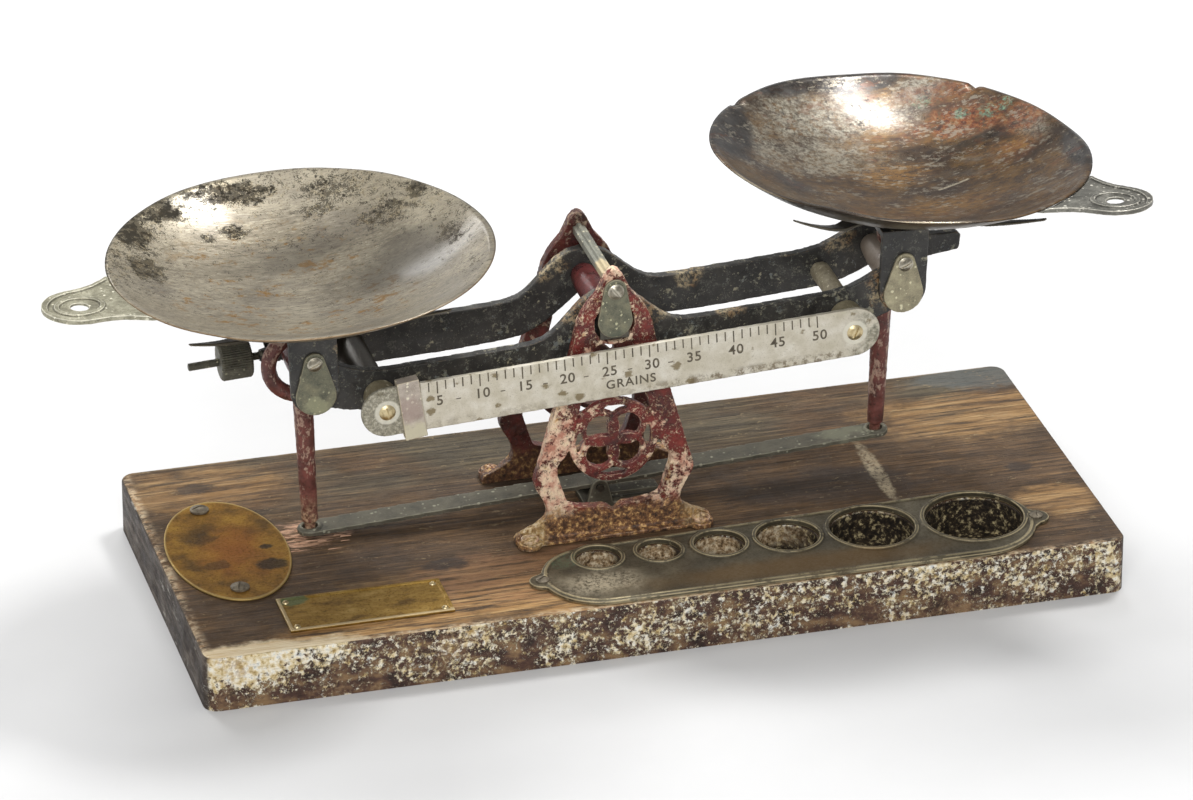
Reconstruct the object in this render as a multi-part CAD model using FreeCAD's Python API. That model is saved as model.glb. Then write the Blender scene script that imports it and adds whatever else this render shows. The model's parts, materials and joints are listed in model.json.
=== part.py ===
import FreeCAD, Part
import math
import os

os.makedirs("parts", exist_ok=True)

V = FreeCAD.Vector

# ---------------------------------------------------------------- driving sizes (mm)
# base board
BASE_LENGTH = 355.6
BASE_DEPTH = 152.4
BASE_HEIGHT = 22.2
BASE_CORNER = 5.5
BASE_EDGE = 1.2

# balance: middle of the stand and its levels
CENTRE_X = -7.5
CENTRE_Y = 7.0
KNIFE_Z = 106.0
ARM = 113.8
REST_TILT = 3.0
LEAN = 1.9

# places across the scale, measured from CENTRE_Y
BAR_IN = 16.5
BAR_OUT = 20.5
CHEEK_IN = 21.8
CHEEK_OUT = 24.0
FRAME_IN = 23.5
FRAME_OUT = 28.0
GRAIN_IN = 31.2
GRAIN_OUT = 33.0

# stay under the beam
STAY_Z = 31.4
STAY_THICK = 2.0
STAY_WIDTH = 10.0

# carriers
CHEEK_HALF = 9.3
CHEEK_BOTTOM = [14.0, 13.0]
RISE = [0.0, 2.2]
BRIDGE_LOW = 15.6
BRIDGE_HIGH = 18.6
LOOP_R = 12.3
LOOP_Z = -4.8
LOOP_SECTION = 3.05
STEM_TOP_R = 4.0
STEM_LOW_R = 3.2
STEM_BOTTOM = -77.4

# pans
PAN_R = 72.25
PAN_DEPTH = 21.0
PAN_WALL = 1.2
PAN_SEAT = 20.2
PAN_SHIFT = [2.2, 4.2]
PAN_TIP = [0.0, 1.8]
PAN_TIP_TOWARDS = 200.0
PAN_TIP_SHIFT = [(0.0, 0.0), (3.4, 1.2)]
PAN_GAP = 0.1
HANDLE_HOLE = 3.4
HANDLE_RISE = [4.0, 7.0]

# pan rest arms
CLAW_RUN = 27.0

# graduated bar and its sliding weight
GRAIN_MID_X = 1.1
GRAIN_MID_Z = -13.6
GRAIN_HALF = 90.4
GRAIN_R = 9.8
POISE_X = -80.1
POISE_WIDTH = 8.5
POISE_HEIGHT = 24.0
POISE_COCK = 5.0

# balance rod and nut
ROD_Z = -8.0
ROD_TIP = -153.1
ROD_R = 1.55
NUT_X = -135.3
NUT_R = 7.4
NUT_LENGTH = 12.2

# weight rack: well places and radii
RACK_THICK = 1.6
WELLS = [
    (-19.4, -40.8, 8.7, 7.0),
    (4.1, -41.4, 8.2, 7.0),
    (27.6, -42.0, 9.7, 8.5),
    (54.1, -43.0, 12.0, 10.0),
    (86.8, -44.6, 16.2, 12.0),
    (126.5, -46.8, 18.8, 14.0),
]


# ---------------------------------------------------------------- helpers
def save(name, shape):
    shape.exportStep("parts/" + name + ".step")


def box(x0, x1, y0, y1, z0, z1):
    return Part.makeBox(x1 - x0, y1 - y0, z1 - z0, V(x0, y0, z0))


def wire_of(points):
    pts = [V(p[0], p[1], p[2]) for p in points]
    pts.append(pts[0])
    return Part.makePolygon(pts)


def plate_xz(points, y0, y1):
    face = Part.Face(wire_of([(p[0], y0, p[1]) for p in points]))
    return face.extrude(V(0, y1 - y0, 0))


def plate_xy(points, z0, z1):
    face = Part.Face(wire_of([(p[0], p[1], z0) for p in points]))
    return face.extrude(V(0, 0, z1 - z0))


def rod_y(x, z, r, y0, y1):
    return Part.makeCylinder(r, y1 - y0, V(x, y0, z), V(0, 1, 0))


def rod_z(x, y, r, z0, z1):
    return Part.makeCylinder(r, z1 - z0, V(x, y, z0), V(0, 0, 1))


def teardrop(x, z_low, r_low, z_high, r_high, y0, y1):
    # rounded drop: big circle below, small circle above, joined by tangents
    d = z_high - z_low
    s = (r_low - r_high) / d
    pts = []
    start = math.asin(s)
    steps = 20
    for i in range(steps + 1):
        a = start + (math.pi - 2 * start) * i / steps
        pts.append((x + r_high * math.cos(a), z_high + r_high * math.sin(a)))
    steps = 28
    for i in range(steps + 1):
        a = math.pi - start + (math.pi + 2 * start) * i / steps
        pts.append((x + r_low * math.cos(a), z_low + r_low * math.sin(a)))
    return plate_xz(pts, y0, y1)


def slotted_head_y(x, z, r, h, y_face, out, angle):
    # round screw head standing on a vertical face; out is -1 (front) or +1 (rear)
    y_top = y_face + out * h
    low = min(y_face, y_top)
    head = rod_y(x, z, r, low, low + h)
    dome = Part.makeSphere(r * 1.6, V(x, y_top - out * r * 1.6, z))
    head = head.common(dome)
    cut = 0.45 * h
    slot_low = min(y_top - out * cut, y_top + out * 1.0)
    slot = box(x - r * 1.2, x + r * 1.2, slot_low, slot_low + cut + 1.0, z - 0.35, z + 0.35)
    slot.rotate(V(x, 0, z), V(0, 1, 0), angle)
    return head.cut(slot)


def slotted_head_z(x, y, r, h, z_face, angle):
    head = rod_z(x, y, r, z_face, z_face + h)
    dome = Part.makeSphere(r * 1.7, V(x, y, z_face + h - r * 1.7))
    head = head.common(dome)
    slot = box(x - r * 1.2, x + r * 1.2, y - 0.35, y + 0.35, z_face + 0.55 * h, z_face + h + 1)
    slot.rotate(V(x, y, 0), V(0, 0, 1), angle)
    return head.cut(slot)


def group(shapes):
    return Part.makeCompound(shapes)


def tilted(shape):
    # beam parts: built level, laid over to the rest tilt about the middle knife
    out = shape.copy()
    out.rotate(V(CENTRE_X, 0, KNIFE_Z), V(0, 1, 0), -REST_TILT)
    return out


def stay_tilted(shape):
    out = shape.copy()
    out.rotate(V(CENTRE_X, 0, STAY_Z), V(0, 1, 0), -REST_TILT)
    return out


def carried(shape, side):
    # carrier parts: built about their knife at the origin; side is -1 left, +1 right
    out = shape.copy()
    out.rotate(V(0, 0, 0), V(0, 1, 0), side * LEAN)
    a = math.radians(REST_TILT)
    x = CENTRE_X + side * ARM * math.cos(a)
    z = KNIFE_Z + side * ARM * math.sin(a)
    out.translate(V(x, CENTRE_Y, z))
    return out


def mirrored_y(shape):
    return shape.mirror(V(0, CENTRE_Y, 0), V(0, 1, 0))


# ---------------------------------------------------------------- base board
board = box(-BASE_LENGTH / 2, BASE_LENGTH / 2, -BASE_DEPTH / 2, BASE_DEPTH / 2, 0, BASE_HEIGHT)
corner_edges = []
for edge in board.Edges:
    a = edge.Vertexes[0].Point
    b = edge.Vertexes[1].Point
    if abs(a.z - b.z) > 1:
        corner_edges.append(edge)
board = board.makeFillet(BASE_CORNER, corner_edges)
rim_edges = []
for edge in board.Edges:
    a = edge.Vertexes[0].Point
    b = edge.Vertexes[-1].Point
    if abs(a.z - b.z) < 0.001 and a.z > BASE_HEIGHT - 0.001:
        rim_edges.append(edge)
board = board.makeFillet(BASE_EDGE, rim_edges)
for x, y, r, depth in WELLS:
    board = board.cut(rod_z(x, y, r, BASE_HEIGHT - depth, BASE_HEIGHT + 1))
save("base_board", board)


# ---------------------------------------------------------------- stand frames
def stand_frame():
    y0 = CENTRE_Y - FRAME_OUT
    y1 = CENTRE_Y - FRAME_IN
    half = [
        (0.0, 133.1),
        (2.0, 132.2),
        (3.7, 130.0),
        (5.2, 126.6),
        (6.6, 123.6),
        (9.2, 120.6),
        (12.0, 116.9),
        (14.0, 112.6),
        (15.4, 107.4),
        (16.8, 100.5),
        (19.6, 89.6),
        (22.6, 79.0),
        (25.6, 68.0),
        (28.6, 57.0),
        (30.6, 50.6),
        (31.3, 47.6),
        (30.6, 44.6),
        (28.2, 40.6),
        (26.6, 37.2),
        (26.0, 34.2),
        (27.0, 31.4),
        (30.4, 29.0),
        (34.2, 27.2),
        (37.6, 25.6),
        (38.6, 24.0),
        (38.6, BASE_HEIGHT),
    ]
    outline = [(CENTRE_X + x, z) for x, z in half]
    outline = outline + [(CENTRE_X - x, z) for x, z in reversed(half[1:])]
    frame = plate_xz(outline, y0, y1)
    hole_half = [
        (0.0, 101.6),
        (5.2, 102.4),
        (7.0, 101.4),
        (8.6, 97.0),
        (10.2, 89.0),
        (12.2, 80.0),
        (14.6, 71.0),
        (16.4, 65.0),
        (17.4, 60.6),
        (18.6, 57.0),
        (20.6, 55.4),
        (21.9, 53.0),
        (21.8, 49.6),
        (20.6, 45.6),
        (18.9, 40.2),
        (17.6, 36.8),
        (14.0, 35.6),
        (8.0, 34.9),
        (3.4, 34.6),
        (1.4, 33.4),
        (0.0, 31.8),
    ]
    hole = [(CENTRE_X + x, z) for x, z in hole_half]
    hole = hole + [(CENTRE_X - x, z) for x, z in reversed(hole_half[1:-1])]
    frame = frame.cut(plate_xz(hole, y0 - 1, y1 + 1))
    # openwork disc: outer ring with a four-lobed rosette
    ring_z = 61.5
    disc = rod_y(CENTRE_X, ring_z, 17.3, y0 + 0.6, y1 - 0.6)
    disc = disc.cut(rod_y(CENTRE_X, ring_z, 14.4, y0 - 1, y1 + 1))
    for k in range(4):
        a = math.radians(45 + 90 * k)
        x = CENTRE_X + 7.3 * math.cos(a)
        z = ring_z + 7.3 * math.sin(a)
        lobe = rod_y(x, z, 7.7, y0 + 0.6, y1 - 0.6)
        lobe = lobe.cut(rod_y(x, z, 5.3, y0 - 1, y1 + 1))
        disc = disc.fuse(lobe)
    inside = rod_y(CENTRE_X, ring_z, 17.3, y0 + 0.6, y1 - 0.6)
    disc = disc.common(inside)
    frame = frame.fuse(disc)
    # knife window and the seat of the bearing block
    frame = frame.cut(rod_y(CENTRE_X, 110.6, 7.6, y0 - 1, y1 + 1))
    frame = frame.cut(box(CENTRE_X - 5.5, CENTRE_X + 5.5, y0 - 1, y1 + 1, 104.4, 108.4))
    # foot strip lying on the board, with round ears for the foot screws
    strip = box(CENTRE_X - 30, CENTRE_X + 30, y0 - 3.6, y0 + 0.5, BASE_HEIGHT, BASE_HEIGHT + 1.8)
    frame = frame.fuse(strip)
    for side in (-1, 1):
        ear = rod_z(CENTRE_X + side * 33.5, y0 - 1.8, 4.8, BASE_HEIGHT, BASE_HEIGHT + 2.6)
        frame = frame.fuse(ear)
    for side in (-1, 1):
        room = rod_z(CENTRE_X + side * 33.5, y0 - 1.8, 3.6, BASE_HEIGHT + 2.6, BASE_HEIGHT + 12)
        frame = frame.cut(room)
    return frame.removeSplitter()


front_frame = stand_frame()
rear_frame = mirrored_y(front_frame)
save("stand_frame_front", front_frame)
save("stand_frame_rear", rear_frame)

# bearing blocks: a wide V under each middle knife end
blocks = []
for out in (-1, 1):
    y0 = CENTRE_Y + min(out * FRAME_IN, out * FRAME_OUT)
    block = box(CENTRE_X - 5.5, CENTRE_X + 5.5, y0, y0 + FRAME_OUT - FRAME_IN, 104.4, 108.4)
    vee = plate_xz(
        [(CENTRE_X, 105.7), (CENTRE_X + 5.2, 108.5), (CENTRE_X - 5.2, 108.5)], y0 - 1, y0 + 6
    )
    blocks.append(block.cut(vee))
save("stand_bearings", group(blocks))

# tie bar between the two peaks, with a raised ridge
tie = box(CENTRE_X - 2.4, CENTRE_X + 2.4, CENTRE_Y - FRAME_IN, CENTRE_Y + FRAME_IN, 124.4, 127.4)
ridge = plate_xz(
    [
        (CENTRE_X - 1.5, 127.3),
        (CENTRE_X + 1.5, 127.3),
        (CENTRE_X + 0.6, 128.6),
        (CENTRE_X - 0.6, 128.6),
    ],
    CENTRE_Y - FRAME_IN,
    CENTRE_Y + FRAME_IN,
)
save("stand_tie_bar", tie.fuse(ridge).removeSplitter())

# teardrop covers over the middle bearings, and their screws
cover = teardrop(CENTRE_X, 112.0, 6.7, 124.6, 4.4, CENTRE_Y - FRAME_OUT - 1.2, CENTRE_Y - FRAME_OUT)
save("stand_cover_front", cover)
save("stand_cover_rear", mirrored_y(cover))
heads = []
for out, angle in ((-1, 48), (1, 15)):
    y_face = CENTRE_Y + out * (FRAME_OUT + 1.2)
    heads.append(slotted_head_y(CENTRE_X, 124.4, 3.1, 1.8, y_face, out, angle))
save("stand_cover_screws", group(heads))

heads = []
for out, side, angle in ((-1, -1, 20), (-1, 1, 70), (1, -1, 110), (1, 1, 5)):
    y = CENTRE_Y + out * (FRAME_OUT + 1.8)
    heads.append(slotted_head_z(CENTRE_X + side * 33.5, y, 3.4, 2.0, BASE_HEIGHT + 2.6, angle))
save("stand_foot_screws", group(heads))


# ---------------------------------------------------------------- stay and its bracket
bracket = box(-13.4, 17.0, CENTRE_Y - 7.6, CENTRE_Y + 7.6, BASE_HEIGHT, BASE_HEIGHT + 2.4)
bracket = bracket.fuse(box(-4.0, 17.0, CENTRE_Y - 3.2, CENTRE_Y + 3.2, BASE_HEIGHT + 2, BASE_HEIGHT + 4.4))
for out in (-1, 1):
    y0 = CENTRE_Y + min(out * 5.6, out * 7.6)
    ear = teardrop(CENTRE_X, BASE_HEIGHT + 3.0, 5.0, STAY_Z, 3.4, y0, y0 + 2.0)
    ear = ear.cut(box(-40, 40, -40, 60, 0, BASE_HEIGHT))
    bracket = bracket.fuse(ear)
bracket = bracket.cut(rod_y(CENTRE_X, STAY_Z, 1.5, CENTRE_Y - 10, CENTRE_Y + 10))
save("stay_bracket", bracket.removeSplitter())
save("stay_pin", rod_y(CENTRE_X, STAY_Z, 1.5, CENTRE_Y - 8.4, CENTRE_Y + 8.4))

STAY_HALF = ARM - (KNIFE_Z - STAY_Z) * math.sin(math.radians(LEAN))
stay = box(
    CENTRE_X - STAY_HALF,
    CENTRE_X + STAY_HALF,
    CENTRE_Y - STAY_WIDTH / 2,
    CENTRE_Y + STAY_WIDTH / 2,
    STAY_Z - STAY_THICK / 2,
    STAY_Z + STAY_THICK / 2,
)
barrel = rod_y(CENTRE_X, STAY_Z, 2.7, CENTRE_Y - STAY_WIDTH / 2, CENTRE_Y + STAY_WIDTH / 2)
stay = stay.fuse(barrel)
for side in (-1, 1):
    x = CENTRE_X + side * STAY_HALF
    stay = stay.fuse(rod_z(x, CENTRE_Y, 5.0, STAY_Z - 1.0, STAY_Z + 1.0))
    stay = stay.fuse(rod_z(x, CENTRE_Y, 4.2, STAY_Z + 0.9, STAY_Z + 1.7))
for side in (-1, 1):
    x = CENTRE_X + side * STAY_HALF
    stay = stay.cut(rod_z(x, CENTRE_Y, 2.9, STAY_Z - 3, STAY_Z + 3))
stay = stay.cut(rod_y(CENTRE_X, STAY_Z, 1.55, CENTRE_Y - 10, CENTRE_Y + 10))
save("stay_link", stay_tilted(stay.removeSplitter()))


# ---------------------------------------------------------------- beam
bar_top = [
    (0.0, 15.2),
    (5.0, 14.6),
    (10.0, 12.0),
    (14.4, 7.9),
    (17.9, 4.4),
    (21.6, 1.1),
    (25.2, -1.0),
    (30.0, -2.2),
    (36.0, -2.5),
    (60.0, -2.5),
    (86.0, -2.4),
    (93.5, -1.4),
    (99.0, 0.6),
    (104.0, 2.9),
    (108.5, 4.6),
    (113.0, 5.0),
    (117.5, 3.6),
    (120.6, 0.6),
]
bar_bottom = [
    (121.6, -3.6),
    (120.4, -7.4),
    (117.6, -10.0),
    (113.5, -12.0),
    (108.4, -14.3),
    (102.2, -16.4),
    (93.0, -18.0),
    (77.8, -18.2),
    (52.0, -18.6),
    (34.0, -18.2),
    (26.0, -17.6),
    (20.6, -15.8),
    (15.5, -13.2),
    (10.1, -9.6),
    (4.6, -5.4),
    (2.0, -3.4),
    (0.0, -2.8),
]


def beam_bar(out):
    y0 = CENTRE_Y + min(out * BAR_IN, out * BAR_OUT)
    y1 = y0 + BAR_OUT - BAR_IN
    half = bar_top + bar_bottom
    pts = [(CENTRE_X + x, KNIFE_Z + z) for x, z in half]
    pts = pts + [(CENTRE_X - x, KNIFE_Z + z) for x, z in reversed(half[1:-1])]
    return plate_xz(pts, y0, y1)


front_bar = beam_bar(-1)
rear_bar = beam_bar(1)
stub_pts = [
    (112.0, -2.6),
    (130.0, -3.2),
    (148.0, -4.6),
    (149.6, -6.2),
    (148.8, -11.4),
    (147.8, -12.2),
    (130.0, -13.4),
    (116.5, -12.6),
    (112.0, -8.6),
]
stub_pts = [(CENTRE_X + x, KNIFE_Z + z) for x, z in stub_pts]
rear_bar = rear_bar.fuse(plate_xz(stub_pts, CENTRE_Y + BAR_IN, CENTRE_Y + BAR_OUT))
boss = Part.makeCone(
    3.6, 2.4, 8.0, V(CENTRE_X - 118.0, CENTRE_Y + 18.5, KNIFE_Z + ROD_Z), V(-1, 0, 0)
)
boss = boss.common(box(-200, 200, CENTRE_Y + BAR_IN, CENTRE_Y + BAR_OUT, 0, 200))
rear_bar = rear_bar.fuse(boss)
rear_bar = rear_bar.removeSplitter()
save("beam_bar_front", tilted(front_bar))
save("beam_bar_rear", tilted(rear_bar))


def barrel_strut(x, z, r_mid, r_end):
    # strut between the bars, thicker in the middle
    pts = []
    steps = 12
    for i in range(steps + 1):
        t = -1.0 + 2.0 * i / steps
        r = r_end + (r_mid - r_end) * (1.0 - t * t)
        pts.append(V(x + r, CENTRE_Y + t * BAR_IN, z))
    curve = Part.BSplineCurve()
    curve.interpolate(pts)
    side_edge = curve.toShape()
    a = V(x, CENTRE_Y - BAR_IN, z)
    b = V(x, CENTRE_Y + BAR_IN, z)
    near_end = Part.makeLine(a, pts[0])
    far_end = Part.makeLine(pts[-1], b)
    face = Part.Face(Part.Wire([near_end, side_edge, far_end, Part.makeLine(b, a)]))
    return face.revolve(V(x, CENTRE_Y, z), V(0, 1, 0), 360)


save("beam_strut_centre", tilted(barrel_strut(CENTRE_X, KNIFE_Z + 4.2, 5.6, 5.0)))
save("beam_strut_left", tilted(barrel_strut(CENTRE_X - ARM, KNIFE_Z - 3.4, 5.9, 4.6)))
save("beam_strut_right", tilted(barrel_strut(CENTRE_X + ARM, KNIFE_Z - 3.4, 5.9, 4.6)))
for x, z, r, name in ((-91.6, -9.8, 6.0, "beam_spacer_left"), (92.8, -11.0, 4.0, "beam_spacer_right")):
    tube = rod_y(CENTRE_X + x, KNIFE_Z + z, r, CENTRE_Y - BAR_IN, CENTRE_Y + BAR_IN)
    save(name, tilted(tube))

# middle knives point down, end knives point up; all three edges lie on one line
knives = []
for out in (-1, 1):
    y0 = CENTRE_Y + min(out * BAR_OUT, out * (FRAME_OUT - 0.5))
    y1 = y0 + FRAME_OUT - 0.5 - BAR_OUT
    pts = [(0.0, 0.0), (3.4, 5.2), (2.4, 7.6), (-2.4, 7.6), (-3.4, 5.2)]
    pts = [(CENTRE_X + x, KNIFE_Z + z) for x, z in pts]
    knives.append(tilted(plate_xz(pts, y0, y1)))
save("centre_knives", group(knives))
for side, name in ((-1, "left_end_knives"), (1, "right_end_knives")):
    knives = []
    for out in (-1, 1):
        y0 = CENTRE_Y + min(out * BAR_OUT, out * (CHEEK_OUT - 0.4))
        y1 = y0 + CHEEK_OUT - 0.4 - BAR_OUT
        pts = [(0.0, 0.0), (3.0, -4.8), (2.0, -7.0), (-2.0, -7.0), (-3.0, -4.8)]
        pts = [(CENTRE_X + side * ARM + x, KNIFE_Z + z) for x, z in pts]
        knives.append(tilted(plate_xz(pts, y0, y1)))
    save(name, group(knives))

# graduated bar on two round standoffs
gx = CENTRE_X + GRAIN_MID_X
gz = KNIFE_Z + GRAIN_MID_Z
gy0 = CENTRE_Y - GRAIN_OUT
gy1 = CENTRE_Y - GRAIN_IN
grain = box(gx - GRAIN_HALF, gx + GRAIN_HALF, gy0, gy1, gz - GRAIN_R, gz + GRAIN_R)
for side in (-1, 1):
    grain = grain.fuse(rod_y(gx + side * GRAIN_HALF, gz, GRAIN_R, gy0, gy1))
save("grain_bar", tilted(grain.removeSplitter()))
posts = []
heads = []
for side, angle in ((-1, 80), (1, -60)):
    x = gx + side * GRAIN_HALF
    # the neck next to the bar leaves room for the back of the sliding weight
    post = rod_y(x, gz + 1.6, 6.2, gy1 + 1.9, CENTRE_Y - BAR_OUT)
    post = post.fuse(rod_y(x, gz + 0.4, 3.9, gy1, gy1 + 2.5))
    posts.append(tilted(post.removeSplitter()))
    heads.append(tilted(slotted_head_y(x, gz, 3.1, 1.2, gy0, -1, angle)))
save("grain_standoffs", group(posts))
save("grain_screws", group(heads))

# balance rod
rod_start = CENTRE_X - 126.0
rod_end = CENTRE_X + ROD_TIP
rod = Part.makeCylinder(
    ROD_R, rod_start - rod_end, V(rod_end, CENTRE_Y + 18.5, KNIFE_Z + ROD_Z), V(1, 0, 0)
)
save("balance_rod", tilted(rod))
nut = Part.makeCylinder(
    NUT_R, NUT_LENGTH, V(CENTRE_X + NUT_X - NUT_LENGTH / 2, CENTRE_Y + 18.5, KNIFE_Z + ROD_Z), V(1, 0, 0)
)
nut = nut.makeChamfer(0.8, nut.Edges)
hole = Part.makeCylinder(
    ROD_R + 0.06, 30, V(CENTRE_X + NUT_X - 15, CENTRE_Y + 18.5, KNIFE_Z + ROD_Z), V(1, 0, 0)
)
nut = nut.cut(hole)
save("balance_nut", tilted(nut))

# sliding weight: a folded band round the graduated bar, sitting slightly askew
px = CENTRE_X + POISE_X
pz = gz
ph = POISE_HEIGHT / 2
pw = POISE_WIDTH / 2
band = box(px - pw, px + pw, gy0 - 1.4, gy1 + 1.4, pz - ph, pz + ph)
inner = box(px - pw - 1, px + pw + 1, gy0 - 0.4, gy1 + 0.4, pz - ph + 1.0, pz + ph - 1.0)
band = band.cut(inner)
band.rotate(V(px, 0, pz), V(0, 1, 0), -POISE_COCK)
save("poise_band", tilted(band))


# ---------------------------------------------------------------- carriers
def drop_arc(half, bottom, top):
    # rounded plate: straight sides, round lower end; about the knife
    pts = [(half, top)]
    zc = -bottom + half
    steps = 24
    for i in range(steps + 1):
        a = -math.pi * i / steps
        pts.append((half * math.cos(a), zc + half * math.sin(a)))
    pts.append((-half, top))
    return pts


def yoke(bottom, rise):
    top = BRIDGE_HIGH + rise
    bridge = box(-CHEEK_HALF, CHEEK_HALF, -CHEEK_OUT, CHEEK_OUT, BRIDGE_LOW + rise, top)
    for out in (-1, 1):
        y0 = min(out * CHEEK_IN, out * CHEEK_OUT)
        y1 = y0 + CHEEK_OUT - CHEEK_IN
        cheek = plate_xz(drop_arc(CHEEK_HALF, bottom, top), y0, y1)
        cheek = cheek.cut(rod_y(0, -4.4, 6.4, y0 - 1, y1 + 1))
        cheek = cheek.cut(box(-4.6, 4.6, y0 - 1, y1 + 1, -1.6, 4.0))
        bridge = bridge.fuse(cheek)
    return bridge.removeSplitter()


def bearings():
    out_list = []
    for out in (-1, 1):
        y0 = min(out * CHEEK_IN, out * CHEEK_OUT)
        y1 = y0 + CHEEK_OUT - CHEEK_IN
        block = box(-4.6, 4.6, y0, y1, -1.6, 4.0)
        block = block.cut(plate_xz([(0.0, 0.35), (4.2, -1.7), (-4.2, -1.7)], y0 - 1, y1 + 1))
        out_list.append(block)
    return out_list


def stem(side, rise):
    # round section swept half way round the end strut, then a tapering leg
    ring_start = Part.Wire(Part.makeCircle(LOOP_SECTION, V(0, 0, LOOP_Z + LOOP_R), V(1, 0, 0)))
    loop = Part.Face(ring_start).revolve(V(0, 0, LOOP_Z), V(0, 1, 0), side * 180)
    top = Part.makeCone(3.3, 4.6, BRIDGE_LOW + rise - LOOP_Z - LOOP_R, V(0, 0, LOOP_Z + LOOP_R))
    top = top.fuse(Part.makeSphere(3.3, V(0, 0, LOOP_Z + LOOP_R)))
    low = Part.makeSphere(STEM_TOP_R, V(0, 0, LOOP_Z - LOOP_R - 0.9))
    leg_top = LOOP_Z - LOOP_R - 0.9
    leg_low = STAY_Z + 3.6 - KNIFE_Z
    leg = Part.makeCone(STEM_LOW_R, STEM_TOP_R, leg_top - leg_low, V(0, 0, leg_low), V(0, 0, 1))
    tip = rod_z(0, 0, 2.2, STEM_BOTTOM, leg_low + 0.5)
    body = loop.fuse(top).fuse(low).fuse(leg).fuse(tip)
    return body.removeSplitter()


def spider_arm(angle, reach, tip_z):
    # thin strip running out from the hub and curling up to a pointed claw
    rise = tip_z - 19.0
    upper = [(0.0, 20.2), (15.0, 19.9), (26.0, 19.7), (reach - CLAW_RUN, 20.0)]
    lower = [(reach - CLAW_RUN, BRIDGE_HIGH), (0.0, BRIDGE_HIGH)]
    curl = []
    under = []
    for k in range(1, 7):
        t = k / 6.0
        x = reach - CLAW_RUN + CLAW_RUN * t
        z = 20.0 + (rise - 1.0) * t ** 1.25
        curl.append((x, z))
        under.insert(0, (x + 0.3, z - 1.4 + 0.7 * t))
    pts = [(p[0], 0.0, p[1]) for p in upper + curl + under + lower]
    face = Part.Face(wire_of(pts))
    strip = face.extrude(V(0, 9.0, 0))
    strip.translate(V(0, -4.5, 0))
    far = reach + 1
    edge = [(0, -4.5), (20, -4.2), (36, -2.6), (far, -0.9)]
    edge = edge + [(x, -y) for x, y in reversed(edge)]
    shape = plate_xy(edge, 10, 50)
    strip = strip.common(shape)
    strip.rotate(V(0, 0, 0), V(0, 0, 1), angle)
    return strip


def spider(arms, rise):
    hub = rod_z(0, 0, 13.0, BRIDGE_HIGH, PAN_SEAT)
    for angle, reach, tip_z in arms:
        hub = hub.fuse(spider_arm(angle, reach, tip_z))
    hub.translate(V(0, 0, rise))
    return hub.removeSplitter()


def pan_dish():
    big = (PAN_R * PAN_R + PAN_DEPTH * PAN_DEPTH) / (2 * PAN_DEPTH)
    zc = PAN_SEAT + big
    rim_z = PAN_SEAT + PAN_DEPTH
    outer = []
    steps = 24
    half_angle = math.asin(PAN_R / big)
    for i in range(steps + 1):
        a = half_angle * i / steps
        outer.append(V(big * math.sin(a), 0, zc - big * math.cos(a)))
    inner = []
    small = big - PAN_WALL
    inner_angle = math.acos((zc - rim_z) / small)
    for i in range(steps + 1):
        a = inner_angle * i / steps
        inner.append(V(small * math.sin(a), 0, zc - small * math.cos(a)))
    outer_curve = Part.BSplineCurve()
    outer_curve.interpolate(outer)
    inner_curve = Part.BSplineCurve()
    inner_curve.interpolate(inner)
    edges = [
        outer_curve.toShape(),
        Part.makeLine(outer[-1], inner[-1]),
        inner_curve.toShape(),
        Part.makeLine(inner[0], outer[0]),
    ]
    face = Part.Face(Part.Wire(Part.__sortEdges__(edges)))
    return face.revolve(V(0, 0, 0), V(0, 0, 1), 360)


def oval(x, a, b):
    pts = []
    for i in range(48):
        t = 2 * math.pi * i / 48
        pts.append((x + a * math.cos(t), b * math.sin(t)))
    return pts


def pan_handle(angle, lift):
    # broad flat tab from under the rim with a round end, a turned edge,
    # a raised oval and a hanging hole
    z0 = PAN_SEAT + PAN_DEPTH - 1.6
    half = [
        (64.0, 21.0),
        (70.0, 19.6),
        (74.0, 17.2),
        (78.0, 15.2),
        (83.0, 13.8),
        (89.4, 13.4),
    ]
    for k in range(1, 12):
        t = math.pi / 2 - math.pi / 2 * k / 11
        half.append((89.4 + 14.2 * math.cos(t), 13.4 * math.sin(t)))
    pts = half + [(x, -y) for x, y in reversed(half[:-1])]
    tab = plate_xy(pts, z0, z0 + 1.2)
    inner_half = [(x - 1.7 if x > 89.5 else x, y - 1.9) for x, y in half[:-1]]
    inner_half = [(60.0, 19.1)] + [p for p in inner_half if p[1] > 0]
    inner_half.append((101.7, 0.0))
    inner = inner_half + [(x, -y) for x, y in reversed(inner_half[:-1])]
    edge = plate_xy(pts, z0 + 1.1, z0 + 1.9).cut(plate_xy(inner, z0, z0 + 4))
    tab = tab.fuse(edge)
    ridge = plate_xy(oval(89.4, 9.6, 8.0), z0 + 1.1, z0 + 1.8)
    ridge = ridge.cut(plate_xy(oval(89.4, 7.8, 6.2), z0, z0 + 4))
    tab = tab.fuse(ridge)
    tab = tab.cut(rod_z(89.4, 0, HANDLE_HOLE, z0 - 1, z0 + 4))
    tab.rotate(V(68, 0, z0), V(0, 1, 0), -lift)
    tab.rotate(V(0, 0, 0), V(0, 0, 1), angle)
    # the root follows the outside of the dish
    big = (PAN_R * PAN_R + PAN_DEPTH * PAN_DEPTH) / (2 * PAN_DEPTH)
    ball = Part.makeSphere(big, V(0, 0, PAN_SEAT + big))
    low = box(-120, 120, -120, 120, PAN_SEAT - 5, PAN_SEAT + PAN_DEPTH + 5)
    tab = tab.cut(ball.common(low))
    return tab.removeSplitter()


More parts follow.
